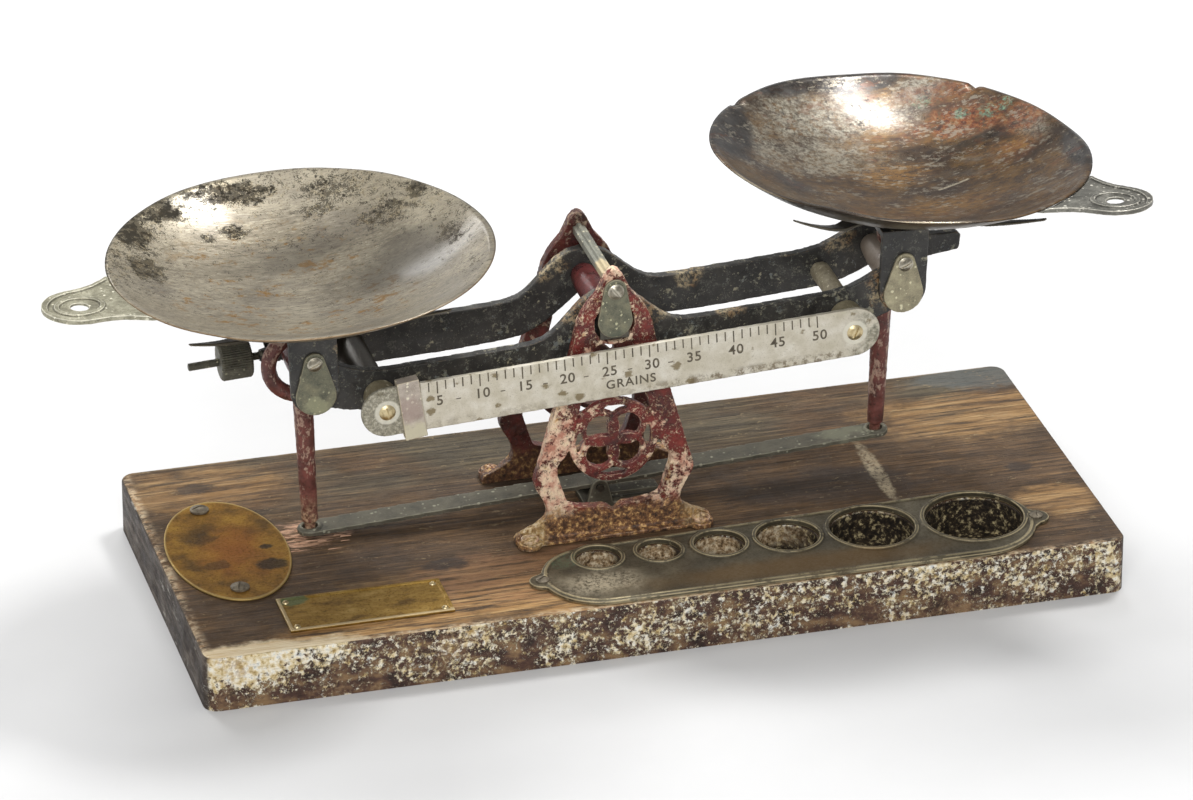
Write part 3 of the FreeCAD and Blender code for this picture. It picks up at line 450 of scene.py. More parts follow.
def japan(name, shift=0.0, tan_spots=(), pale_share=0.565):
    """Black japan on the beam and carriers: grey-white specks, a little blue, tan patches."""
    p = Paint(name)
    cloud = p.noise(0.09, 5.0, 0.65, shift=shift + 1.0)
    colour = p.tones(cloud, (0.35, lin(38, 37, 36)), (0.6, lin(60, 58, 55)), (0.75, lin(84, 80, 73)))
    powder = p.flakes(1.5, pale_share, 0.08, shift=shift + 3.0, crowd=0.7)
    big = p.flakes(0.4, pale_share + 0.03, 0.05, shift=shift + 4.0, crowd=0.6)
    small = p.flakes(0.9, pale_share + 0.05, 0.05, shift=shift + 5.0, crowd=0.4)
    tint = p.tones(
        p.noise(0.2, 3.0, 0.6, shift=shift + 6.0),
        (0.35, lin(112, 122, 126)),
        (0.5, lin(140, 138, 120)),
        (0.68, lin(190, 182, 152)),
    )
    colour = p.mix(p.times(powder, 0.45), colour, lin(120, 120, 110))
    colour = p.mix(p.times(p.most(big, small), 0.75), colour, tint)
    for i, (centre, size) in enumerate(tan_spots):
        patch = p.times(p.spot(centre, size, 0.7, 0.16, shift=shift + 7.0 + i), p.step(p.noise(0.7, 4.0, 0.7, shift=i + 30.0), 0.42, 0.6))
        colour = p.mix(p.times(patch, 0.85), colour, p.tones(cloud, (0.4, lin(142, 106, 68)), (0.6, lin(188, 172, 138))))
    worn = p.times(p.edges(0.52, 0.57), p.step(p.noise(0.16, 5.0, 0.7, shift=shift + 8.0), 0.45, 0.62))
    colour = p.mix(p.times(worn, 0.7), colour, lin(126, 104, 78))
    height = p.math("ADD", p.times(p.most(big, small), 0.6), p.times(p.noise(1.1, 4.0, 0.6, shift=shift + 9.0), 0.5))
    shine = p.step(p.noise(0.2, 4.0, 0.7, shift=shift + 10.0), 0.3, 0.7, 0.36, 0.6)
    return p.finish(colour, p.math("ADD", shine, p.times(p.most(powder, small), 0.25)), 0.0, height, 0.12, 0.7)


def metal(name, tones, specks=None, spots=(), rough=(0.35, 0.55), metallic=0.8, per_mm=0.14, brush=None, shift=0.0, depth=0.08, worn=None, fine_share=0.6):
    """Tarnished metal: clouded tones, specks, named blotches, brushing, painted shade in the hollows and bright worn
    edges.
    """
    p = Paint(name)
    cloud = p.noise(per_mm, 6.0, 0.66, shift=shift + 1.0)
    colour = p.tones(cloud, *[(0.3 + 0.42 * i / (len(tones) - 1), t) for i, t in enumerate(tones)])
    grain = p.noise(2.2, 3.0, 0.6, brush or (1, 1, 1), shift=shift + 2.0)
    colour = p.mix(p.step(grain, 0.3, 0.7, 0.0, 0.35), colour, tones[-1])
    dirt = p.times(p.step(p.noise(0.9, 5.0, 0.72, shift=shift + 3.0), fine_share, fine_share + 0.08), 0.6)
    colour = p.mix(dirt, colour, tones[0])
    dull = dirt
    if specks is not None:
        small = p.dots(0.55, 0.34, 0.14, shift=shift + 4.0)
        powder = p.step(p.noise(1.4, 4.0, 0.75, shift=shift + 5.0), 0.62, 0.7)
        both = p.most(p.times(small, 0.8), p.times(powder, 0.55))
        colour = p.mix(both, colour, specks)
        dull = p.most(dull, both)
    for i, (centre, size, tone, amount, ragged) in enumerate(spots):
        blot = p.times(p.spot(centre, size, ragged, 0.16, shift=shift + 6.0 + 3.0 * i), amount)
        colour = p.mix(blot, colour, tone)
        dull = p.most(dull, p.times(blot, 0.6))
    if worn is not None:
        # painted shade: darker in the hollows (only when worn is given)
        colour = p.mix(p.times(p.edges(0.496, 0.468), 0.8), colour, tuple(0.5 * c for c in tones[0]))
        colour = p.mix(p.times(p.edges(0.512, 0.545), 0.75), colour, worn)
    shine = p.step(cloud, 0.3, 0.7, rough[0], rough[1])
    height = p.math("ADD", grain, p.times(p.noise(0.5, 4.0, 0.6, shift=shift + 9.0), 0.8))
    whole = p.math("MULTIPLY", p.math("SUBTRACT", 1.0, dull), metallic)
    return p.finish(colour, p.math("ADD", shine, p.times(dull, 0.3), clamp=True), whole, height, depth, 0.7)


def left_pan():
    """Worn tinned bowl: brushed silver, brown-black tarnish round the back and left, faint orange streaks."""
    p = Paint("left_pan")
    cx, cy = -120.0, 7.0
    brush = p.noise(1.6, 5.0, 0.7, (0.12, 1.0, 1.0), shift=1.0)
    cloud = p.noise(0.035, 5.0, 0.6, shift=2.0)
    colour = p.tones(cloud, (0.34, lin(112, 104, 90)), (0.5, lin(134, 126, 110)), (0.66, lin(156, 148, 130)))
    colour = p.mix(p.step(brush, 0.34, 0.7, 0.0, 0.5), colour, lin(152, 142, 120))
    hair = p.noise(0.9, 9.0, 0.85, (0.2, 1.0, 1.0), shift=54.0)
    colour = p.mix(p.step(hair, 0.49, 0.40, 0.0, 0.75), colour, lin(86, 78, 66))
    colour = p.mix(p.step(hair, 0.52, 0.60, 0.0, 0.6), colour, lin(182, 174, 152))
    # painted reflection: random darker grey bands over the bowl
    dark_reflection_bands = p.step(p.noise(0.05, 4.0, 0.6, (0.5, 1.0, 1.0), shift=51.0), 0.46, 0.64)
    colour = p.mix(p.times(dark_reflection_bands, 0.5), colour, lin(98, 92, 84))
    floor_z = p.step(p.z, 131.0, 123.0)
    orange = p.times(
        p.flakes(0.26, 0.56, 0.08, (0.6, 1.0, 1.0), shift=3.0, crowd=0.35),
        p.step(p.z, 134.0, 126.0),
    )
    colour = p.mix(p.times(orange, 0.85), colour, lin(118, 84, 30))
    blots = [
        ((-129.0, 70.0, 137.0), (13.0, 5.5, 6.0), 1.0),
        ((-140.0, 71.0, 139.0), (12.0, 5.0, 6.0), 0.8),
        ((-163.0, 60.0, 139.0), (11.0, 7.0, 6.0), 0.95),
        ((-176.0, 49.0, 139.0), (9.0, 12.0, 8.0), 1.0),
        ((-174.0, 25.0, 132.0), (9.0, 9.0, 7.0), 0.9),
        ((-136.0, 53.0, 130.0), (6.5, 4.0, 5.0), 1.0),
        ((-146.0, 50.0, 130.0), (3.0, 2.2, 4.0), 0.9),
        ((-102.0, 57.0, 133.0), (8.0, 4.5, 6.0), 0.8),
        ((-94.0, 64.0, 138.0), (16.0, 7.0, 6.0), 0.6),
        ((-80.0, 44.0, 135.0), (13.0, 7.0, 6.0), 0.75),
        ((-66.0, 48.0, 142.0), (4.5, 5.0, 5.0), 1.0),
        ((-61.0, 15.0, 138.0), (5.0, 8.0, 6.0), 0.7),
        ((-112.0, 45.0, 127.0), (26.0, 5.0, 6.0), 0.35),
        ((-60.0, -18.0, 139.0), (8.0, 10.0, 6.0), 0.35),
    ]
    tarnish = None
    for i, (centre, size, amount) in enumerate(blots):
        blot = p.times(p.spot(centre, size, 0.85, 0.16, 0.5, shift=4.0 + i * 2.0), amount)
        tarnish = blot if tarnish is None else p.most(tarnish, blot)
    band = p.times(p.step(p.z, 131.0, 139.0), p.step(p.y, -12.0, 34.0))
    left_side = p.times(p.step(p.x, -140.0, -175.0), p.step(p.y, -14.0, 8.0), p.step(p.z, 126.0, 134.0))
    pull = p.math("ADD", p.times(tarnish, 0.15), p.math("ADD", p.times(band, 0.06), p.times(left_side, 0.05)))
    core = p.flakes(0.42, 0.675, 0.05, shift=40.0, crowd=0.3, extra=pull)
    dust = p.flakes(1.7, 0.60, 0.05, shift=41.0, crowd=0.55, extra=pull)
    haze = p.flakes(0.6, 0.60, 0.12, shift=55.0, crowd=0.4, extra=pull)
    colour = p.mix(p.times(haze, 0.55), colour, lin(128, 112, 78))
    tarnish = p.most(core, p.times(dust, 0.8))
    stain = p.tones(p.noise(0.3, 4.0, 0.7, shift=42.0), (0.38, lin(8, 7, 6)), (0.55, lin(26, 22, 15)), (0.7, lin(62, 50, 32)))
    # painted reflection: the upper back wall is made paler (the band also gathers real tarnish above)
    colour = p.mix(p.times(band, 0.3), colour, lin(190, 180, 156))
    colour = p.mix(p.times(tarnish, 0.92), colour, stain)
    # painted reflection: darker patches on the floor, to the right and at the back
    dark_reflection_patches = p.most(
        p.spot((-76.0, 12.0, 128.0), (36.0, 26.0, 20.0), 0.4, 0.04, 0.8, shift=52.0),
        p.times(p.spot((-118.0, 34.0, 124.0), (40.0, 12.0, 20.0), 0.5, 0.04, 0.9, shift=53.0), 0.6),
    )
    colour = p.mix(p.times(dark_reflection_patches, 0.85), colour, lin(62, 56, 46))
    arc = p.vector("LENGTH", p.vector("MULTIPLY", p.vector("SUBTRACT", p.place, (-150.0, 33.0, 0.0)), (0.8, 1.2, 0.0)))
    arc = p.times(p.step(p.math("ABSOLUTE", p.math("ADD", arc, -15.5)), 0.5, 0.15), p.step(p.y, 36.0, 41.0))
    colour = p.mix(p.times(arc, 0.5), colour, lin(92, 82, 64))
    flecks = p.times(p.step(p.noise(1.2, 5.0, 0.75, shift=43.0), 0.63, 0.70), p.step(p.z, 126.0, 136.0), 0.6)
    colour = p.mix(flecks, colour, lin(112, 98, 72))
    away = p.vector("LENGTH", p.vector("MULTIPLY", p.vector("SUBTRACT", p.place, (cx, cy, 0.0)), (1.0, 1.0, 0.0)))
    lip = p.times(p.step(away, 71.0, 72.2), p.step(p.y, 10.0, -30.0))
    colour = p.mix(p.times(lip, 0.6), colour, lin(150, 112, 66))
    under = p.step(p.nz, 0.05, -0.25)
    colour = p.mix(p.times(under, 0.75), colour, p.tones(cloud, (0.4, lin(70, 58, 42)), (0.6, lin(122, 104, 78))))
    dull = p.most(tarnish, p.times(orange, 0.4), p.times(flecks, 0.8), p.times(under, 0.5))
    shine = p.step(p.noise(0.05, 5.0, 0.7, shift=44.0), 0.3, 0.7, 0.33, 0.45)
    height = p.math("ADD", p.times(brush, 0.5), p.times(p.noise(0.06, 3.0, 0.5, shift=45.0), 3.0))
    p.bsdf.inputs["Specular IOR Level"].default_value = 0.15
    p.film(p.times(p.math("SUBTRACT", 1.0, dull, clamp=True), 0.4), 0.17, 1.5)
    return p.finish(
        colour,
        p.math("ADD", shine, p.times(dull, 0.35), clamp=True),
        p.math("SUBTRACT", 0.5, p.times(dull, 0.5)),
        height,
        0.07,
        0.45,
    )


def right_pan():
    """The other bowl: brown, ochre and copper-red patina with verdigris, pale tin patches and black rims."""
    p = Paint("right_pan")
    brush = p.noise(0.9, 6.0, 0.72, (0.22, 1.0, 1.0), shift=1.0)
    cloud = p.noise(0.07, 6.0, 0.68, (0.6, 1.0, 1.0), shift=2.0)
    colour = p.tones(
        cloud,
        (0.32, lin(46, 36, 29)),
        (0.44, lin(78, 60, 42)),
        (0.54, lin(110, 82, 44)),
        (0.64, lin(106, 90, 72)),
        (0.76, lin(132, 122, 104)),
    )
    colour = p.mix(p.step(brush, 0.42, 0.64, 0.0, 0.65), colour, lin(56, 42, 32))
    pale_mask = p.most(
        p.spot((90.0, 56.0, 149.0), (26.0, 16.0, 12.0), 0.7, 0.08, 0.6, shift=3.0),
        p.spot((139.0, 66.0, 150.0), (11.0, 7.0, 8.0), 0.7, 0.12, 0.6, shift=4.0),
        p.times(p.spot((88.0, 34.0, 142.0), (30.0, 14.0, 9.0), 0.9, 0.07, 0.7, shift=5.0), 0.8),
        p.times(p.spot((67.0, 35.0, 149.0), (8.0, 20.0, 9.0), 0.7, 0.1, 0.6, shift=6.0), 0.8),
        p.times(p.spot((108.0, -44.0, 147.0), (15.0, 7.0, 9.0), 0.8, 0.12, 0.6, shift=7.0), 0.8),
        p.times(p.spot((118.0, 58.0, 146.0), (18.0, 10.0, 8.0), 0.7, 0.1, 0.6, shift=8.0), 0.7),
        p.times(p.spot((172.0, 30.0, 149.0), (8.0, 12.0, 8.0), 0.7, 0.1, 0.6, shift=9.0), 0.6),
        p.times(p.spot((100.0, -54.0, 151.0), (22.0, 5.0, 7.0), 0.8, 0.12, 0.6, shift=68.0), 0.8),
    )
    tin = p.tones(p.noise(0.6, 5.0, 0.75, shift=10.0), (0.36, lin(62, 56, 46)), (0.46, lin(112, 105, 90)), (0.6, lin(158, 152, 136)))
    colour = p.mix(p.times(pale_mask, p.step(p.noise(0.35, 6.0, 0.78, shift=11.0), 0.36, 0.54)), colour, tin)
    red_mask = p.most(
        p.spot((150.0, 46.0, 146.0), (27.0, 9.0, 9.0), 0.8, 0.09, 0.6, shift=12.0),
        p.times(p.spot((170.0, 36.0, 150.0), (13.0, 9.0, 9.0), 0.8, 0.09, 0.6, shift=13.0), 0.9),
        p.times(p.spot((150.0, 62.0, 151.0), (24.0, 6.0, 7.0), 0.8, 0.1, 0.6, shift=14.0), 0.7),
        p.times(p.spot((163.0, 20.0, 143.0), (12.0, 7.0, 8.0), 0.8, 0.1, 0.6, shift=15.0), 0.45),
    )
    red = p.tones(p.noise(0.4, 5.0, 0.7, shift=16.0), (0.36, lin(50, 26, 15)), (0.48, lin(104, 52, 22)), (0.56, lin(124, 74, 34)), (0.66, lin(138, 112, 84)))
    colour = p.mix(p.times(red_mask, p.step(p.noise(0.3, 5.0, 0.7, shift=17.0), 0.34, 0.52), 0.95), colour, red)
    ochre_mask = p.most(
        p.times(p.spot((116.0, 22.0, 136.0), (20.0, 8.0, 8.0), 0.6, 0.07, 0.6, shift=18.0), 0.8),
        p.times(p.spot((124.0, -8.0, 137.0), (26.0, 9.0, 8.0), 0.7, 0.07, 0.6, shift=19.0), 0.7),
        p.times(p.spot((162.0, 22.0, 143.0), (7.0, 5.0, 8.0), 0.5, 0.1, 0.5, shift=20.0), 0.9),
        p.times(p.spot((100.0, -16.0, 139.0), (18.0, 9.0, 8.0), 0.7, 0.07, 0.6, shift=21.0), 0.6),
    )
    colour = p.mix(p.times(ochre_mask, p.step(brush, 0.60, 0.42)), colour, lin(122, 88, 42))
    green = p.most(
        p.spot((162.0, 47.0, 149.0), (9.0, 3.6, 6.0), 0.9, 0.2, 0.4, shift=22.0),
        p.spot((150.0, 50.0, 147.0), (4.0, 2.4, 6.0), 0.9, 0.2, 0.4, shift=23.0),
        p.times(p.spot((138.0, 61.0, 148.0), (5.0, 3.0, 6.0), 0.9, 0.2, 0.4, shift=24.0), 0.6),
    )
    green = p.times(green, p.flakes(0.7, 0.44, 0.12, shift=64.0))
    colour = p.mix(p.times(green, 0.85), colour, p.tones(p.noise(0.8, 4.0, 0.7, shift=25.0), (0.4, lin(72, 98, 82)), (0.65, lin(126, 158, 130))))
    black = p.most(
        p.spot((52.0, 44.0, 158.0), (17.0, 32.0, 12.0), 0.4, 0.06, 0.3, shift=26.0),
        p.spot((114.0, 76.0, 154.0), (26.0, 8.0, 8.0), 0.45, 0.09, 0.3, shift=27.0),
        p.spot((80.0, 72.0, 157.0), (22.0, 8.0, 8.0), 0.45, 0.09, 0.3, shift=28.0),
        p.spot((182.0, -2.0, 151.0), (8.0, 22.0, 10.0), 0.4, 0.08, 0.3, shift=29.0),
        p.times(p.spot((152.0, 34.0, 142.0), (22.0, 3.4, 7.0), 0.8, 0.12, 0.6, shift=30.0), 0.75),
        p.times(p.spot((72.0, 8.0, 146.0), (10.0, 12.0, 7.0), 0.9, 0.1, 0.6, shift=31.0), 0.7),
        p.times(p.spot((134.0, 18.0, 137.0), (16.0, 3.6, 7.0), 0.9, 0.12, 0.6, shift=32.0), 0.55),
        p.times(p.spot((128.0, -34.0, 144.0), (26.0, 6.0, 7.0), 0.9, 0.1, 0.6, shift=33.0), 0.5),
        p.times(p.spot((96.0, -46.0, 151.0), (26.0, 6.0, 7.0), 0.7, 0.1, 0.6, shift=34.0), 0.6),
    )
    black_tone = p.tones(p.noise(0.12, 4.0, 0.6, shift=35.0), (0.4, lin(30, 28, 26)), (0.65, lin(70, 68, 66)))
    colour = p.mix(p.times(black, 0.92), colour, black_tone)
    flecks = p.flakes(0.8, 0.58, 0.06, shift=36.0, crowd=0.5)
    colour = p.mix(p.times(flecks, 0.7), colour, lin(48, 38, 30))
    streaks = p.flakes(0.4, 0.56, 0.06, (0.35, 1.0, 1.0), shift=65.0, crowd=0.4)
    colour = p.mix(p.times(streaks, 0.55), colour, lin(52, 36, 27))
    russet = p.flakes(0.22, 0.56, 0.1, (0.5, 1.0, 1.0), shift=66.0, crowd=0.4)
    colour = p.mix(p.times(russet, 0.4), colour, lin(104, 60, 34))
    tin_flecks = p.flakes(0.6, 0.565, 0.05, (0.5, 1.0, 1.0), shift=67.0, crowd=0.5)
    colour = p.mix(p.times(tin_flecks, 0.6), colour, lin(142, 134, 118))
    glint = p.times(p.step(p.noise(1.3, 5.0, 0.75, shift=37.0), 0.62, 0.70), 0.5)
    colour = p.mix(glint, colour, lin(150, 140, 124))
    off = p.vector("SUBTRACT", p.place, (134.0, 9.6, 136.0))
    along = p.math("ABSOLUTE", p.dot(off, (0.96, 0.28, 0.0)))
    across = p.math("ABSOLUTE", p.dot(off, (-0.28, 0.96, 0.0)))
    scratch = p.times(p.step(along, 7.4, 6.4), p.step(across, 0.75, 0.35), p.step(p.noise(0.7, 4.0, 0.7, shift=38.0), 0.34, 0.46))
    colour = p.mix(p.times(scratch, 0.8), colour, lin(176, 166, 144))
    under = p.step(p.nz, 0.05, -0.25)
    colour = p.mix(p.times(under, 0.9), colour, p.tones(cloud, (0.4, lin(38, 33, 26)), (0.6, lin(88, 80, 64))))
    away = p.vector("LENGTH", p.vector("MULTIPLY", p.vector("SUBTRACT", p.place, (110.45, 6.76, 0.0)), (1.0, 1.0, 0.0)))
    # painted shade: a dark band on the inner wall below the bent-in rim at the front left
    shade_below_bent_rim = p.times(p.step(away, 64.5, 67.0), p.step(away, 69.4, 68.6), p.step(p.y, 2.0, -12.0), p.step(p.x, 112.0, 96.0))
    colour = p.mix(p.times(shade_below_bent_rim, 0.75), colour, lin(44, 36, 28))
    # painted highlight: a pale line along the top of the bent rim at the front left
    lip = p.times(p.step(away, 68.8, 69.6), p.step(p.y, -2.0, -14.0), p.step(p.nz, 0.1, 0.4), p.step(p.x, 122.0, 100.0))
    colour = p.mix(p.times(lip, 0.7), colour, lin(186, 176, 154))
    matt = p.most(p.times(red_mask, 0.7), green, p.times(flecks, 0.6), p.times(ochre_mask, 0.5), p.times(under, 0.3))
    shine = p.step(p.noise(0.09, 5.0, 0.7, shift=39.0), 0.3, 0.7, 0.24, 0.4)
    height = p.math("ADD", p.times(brush, 0.5), p.times(p.noise(0.07, 4.0, 0.55, shift=45.0), 2.5))
    height = p.math("SUBTRACT", height, p.times(scratch, 1.5))
    p.film(p.times(p.math("SUBTRACT", 1.0, matt, clamp=True), 0.32), 0.17, 1.5)
    return p.finish(
        colour,
        p.math("ADD", shine, p.times(matt, 0.3), clamp=True),
        p.math("SUBTRACT", p.math("SUBTRACT", 0.68, p.times(pale_mask, 0.34)), p.times(matt, 0.4)),
        height,
        0.08,
        0.3,
    )


def grain_plate():
    """Pale plate of the graduated bar: brown freckles, dark pits and dull ends."""
    p = Paint("grain_plate")
    cloud = p.noise(0.12, 5.0, 0.65, shift=1.0)
    colour = p.tones(cloud, (0.34, lin(192, 184, 163)), (0.52, lin(210, 203, 186)), (0.7, lin(226, 221, 208)))
    dust = p.step(p.noise(1.9, 4.0, 0.75, shift=2.0), 0.56, 0.66)
    colour = p.mix(p.times(dust, 0.55), colour, lin(140, 128, 106))
    freckle = p.dots(0.2, 0.3, 0.16, (0.8, 1.0, 1.0), shift=3.0, ragged=0.35)
    colour = p.mix(p.times(freckle, 0.85), colour, lin(118, 102, 66))
    low = p.times(
        p.step(p.math("SUBTRACT", p.z, p.times(p.x, math.tan(REST_TILT))), 87.5, 85.0),
        p.step(p.noise(0.3, 6.0, 0.78, shift=4.0), 0.46, 0.58),
        p.step(p.x, -10.0, 30.0, 0.4, 1.0),
    )
    colour = p.mix(p.times(low, 0.8), colour, lin(108, 92, 66))
    end_right = p.times(p.step(p.x, 78.0, 93.0), p.step(p.noise(0.25, 6.0, 0.75, shift=5.0), 0.36, 0.58))
    end_left = p.times(p.step(p.x, -84.0, -92.0), 0.9)
    ends = p.most(end_right, end_left)
    end_tone = p.tones(p.noise(0.7, 5.0, 0.75, shift=6.0), (0.36, lin(78, 74, 62)), (0.5, lin(132, 128, 110)), (0.66, lin(200, 196, 178)))
    colour = p.mix(p.times(ends, 0.9), colour, end_tone)
    for sign, x in ((-1, -89.3), (1, 91.5)):
        screw = beam_place(x, GRAIN_FACE_Y, -13.6) / MM
        far = p.vector("LENGTH", p.vector("SUBTRACT", p.place, tuple(screw)))
        halo = p.times(p.step(far, 5.2, 4.4), p.step(far, 2.6, 3.2))
        colour = p.mix(p.times(halo, 0.7), colour, lin(228, 224, 208))
    rough = p.step(cloud, 0.3, 0.7, 0.36, 0.5)
    dull = p.most(p.times(ends, 0.7), freckle, p.times(dust, 0.5))
    height = p.math("ADD", p.times(dust, -0.4), p.times(p.noise(0.6, 4.0, 0.6, shift=8.0), 0.7))
    return p.finish(colour, p.math("ADD", rough, p.times(dull, 0.3)), p.math("SUBTRACT", 0.4, p.times(dull, 0.38)), height, 0.06, 0.7)


def tag_metal():
    """Orange-brown brass of the oval tag, with black stains and a bright lower rim."""
    p = Paint("tag_metal")
    cloud = p.noise(0.08, 5.0, 0.65, shift=1.0)
    fine = p.noise(0.9, 5.0, 0.75, shift=2.0)
    colour = p.tones(cloud, (0.36, lin(104, 76, 32)), (0.5, lin(146, 106, 40)), (0.66, lin(176, 134, 52)))
    orange = p.spot((-149.0, 2.0, 23.0), (13.0, 22.0, 20.0), 0.6, 0.06, 0.8, shift=3.0)
    colour = p.mix(p.times(orange, 0.65), colour, lin(164, 98, 38))
    colour = p.mix(p.step(fine, 0.5, 0.68, 0.0, 0.55), colour, lin(74, 56, 34))
    stains = p.most(
        p.spot((-138.0, -12.0, 23.0), (6.5, 4.5, 20.0), 0.5, 0.2, shift=4.0),
        p.spot((-137.0, 2.0, 23.0), (3.0, 2.0, 20.0), 0.6, 0.3, shift=5.0),
        p.times(p.spot((-160.0, 14.0, 23.0), (7.0, 5.0, 20.0), 0.8, 0.2, shift=6.0), 0.6),
        p.times(p.spot((-158.0, -8.0, 23.0), (5.0, 4.0, 20.0), 0.8, 0.2, shift=7.0), 0.6),
    )
    colour = p.mix(p.times(stains, 0.85), colour, lin(44, 38, 30))
    far = p.vector("LENGTH", p.vector("DIVIDE", p.vector("SUBTRACT", p.place, (-151.5, 3.0, 23.2)), (23.0, 40.0, 60.0)))
    rim = p.step(far, 0.955, 0.985)
    colour = p.mix(p.times(rim, 0.75), colour, lin(196, 170, 110))
    rough = p.step(fine, 0.3, 0.7, 0.34, 0.6)
    height = p.math("ADD", fine, p.times(rim, 0.5))
    return p.finish(colour, rough, 0.8, height, 0.1, 0.7)


def nameplate_metal():
    """Golden brown plate, pale raised edge, verdigris in its upper left corner."""
    p = Paint("nameplate_metal")
    cloud = p.noise(0.16, 5.0, 0.7, (0.5, 1.0, 1.0), shift=1.0)
    colour = p.tones(cloud, (0.34, lin(110, 82, 36)), (0.5, lin(158, 124, 56)), (0.66, lin(184, 152, 84)))
    fine = p.noise(0.9, 5.0, 0.75, shift=2.0)
    colour = p.mix(p.step(fine, 0.52, 0.68, 0.0, 0.6), colour, lin(70, 56, 34))
    green = p.spot((-137.0, -42.0, 23.0), (6.0, 4.0, 20.0), 0.7, 0.25, shift=3.0)
    colour = p.mix(p.times(green, 0.7), colour, lin(74, 112, 84))
    raised = p.step(p.z, BOARD_TOP + 0.85, BOARD_TOP + 1.1)
    near = p.most(p.step(p.y, -62.0, -64.0), p.step(p.x, -140.6, -142.2))
    colour = p.mix(p.times(raised, near, 0.8), colour, lin(206, 186, 146))
    return p.finish(colour, p.step(fine, 0.3, 0.7, 0.36, 0.62), 0.75, fine, 0.12, 0.7)


def rack_metal():
    """Dull grey-green brass rack: dark blotches, brown low left, a whitish rubbed patch."""
    p = Paint("rack_metal")
    cloud = p.noise(0.06, 6.0, 0.68, shift=1.0)
    fine = p.noise(0.9, 5.0, 0.74, shift=2.0)
    colour = p.tones(cloud, (0.34, lin(74, 68, 54)), (0.5, lin(98, 90, 72)), (0.68, lin(124, 116, 96)))
    colour = p.mix(p.step(fine, 0.5, 0.68, 0.0, 0.55), colour, lin(66, 60, 48))
    brown = p.times(p.spot((52.0, -66.0, 24.0), (62.0, 8.0, 20.0), 0.5, 0.05, 0.7, shift=3.0), 0.75)
    colour = p.mix(brown, colour, lin(118, 92, 56))
    pale = p.times(
        p.spot((-24.0, -60.0, 24.0), (16.0, 10.0, 20.0), 0.6, 0.08, 0.8, shift=4.0),
        p.step(fine, 0.36, 0.58),
    )
    colour = p.mix(p.times(pale, 0.8), colour, lin(190, 178, 152))
    green = p.times(p.spot((-30.0, -40.0, 24.0), (10.0, 6.0, 20.0), 0.7, 0.12, shift=5.0), p.step(fine, 0.45, 0.6))
    colour = p.mix(p.times(green, 0.6), colour, lin(112, 132, 104))
    bright = p.times(p.edges(0.506, 0.53), p.step(p.noise(0.15, 4.0, 0.7, shift=6.0), 0.36, 0.5))
    colour = p.mix(p.times(bright, 0.6), colour, lin(204, 188, 148))
    grime = p.edges(0.494, 0.46)
    colour = p.mix(p.times(grime, 0.6), colour, lin(52, 44, 34))
    rough = p.step(fine, 0.3, 0.7, 0.36, 0.6)
    return p.finish(colour, p.math("ADD", rough, p.times(pale, 0.2)), 0.55, fine, 0.12, 0.7)


# ---------------------------------------------------------------- pieces
def new_object(name, mesh, body, material, slot, *stands_for):
    piece = bpy.data.objects.new(name, mesh)
    bpy.context.scene.collection.objects.link(piece)
    mesh.materials.clear()
    mesh.materials.append(material)
    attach(piece, body)
    if stands_for:
        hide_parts(*stands_for)
    return piece


def slot_of(node):
    for part in frame["record"]["subparts"]:
        if part["node"] == node:
            return part["material_slot"]
    return None


def reworked(node, material, voxel, rounds=3, uneven=0.0, grain=3.0):
    """A softened and slightly uneven copy of a CAD piece, with worn edges, which stands for it."""
    source = NODES[node]
    work = bpy.data.objects.new(node + "_work", source.data.copy())
    bpy.context.scene.collection.objects.link(work)
    weld = work.modifiers.new("weld", "WELD")
    weld.merge_threshold = 0.000002
    remesh = work.modifiers.new("remesh", "REMESH")
    remesh.mode = "VOXEL"
    remesh.voxel_size = voxel * MM
    remesh.use_smooth_shade = True
    soften = work.modifiers.new("soften", "SMOOTH")
    soften.factor = 0.5
    soften.iterations = rounds
    if uneven:
        cloud = bpy.data.textures.new(node + "_cloud", "CLOUDS")
        cloud.noise_scale = grain * MM
        cloud.noise_depth = 2
        push = work.modifiers.new("uneven", "DISPLACE")
        push.texture = cloud
        push.texture_coords = "LOCAL"
        push.mid_level = 1.0
        push.strength = uneven * MM
    bpy.context.view_layer.update()
    graph = bpy.context.evaluated_depsgraph_get()
    mesh = bpy.data.meshes.new_from_object(work.evaluated_get(graph))
    mesh.name = node + "_cast"
    bpy.data.objects.remove(work)
    body = source["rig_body"]
    return new_object(node + "_cast", mesh, body, material, slot_of(node), node)


def assign(node, material):
    """Gives a CAD node its material."""
    mesh = NODES[node].data
    mesh.materials.clear()
    mesh.materials.append(material)


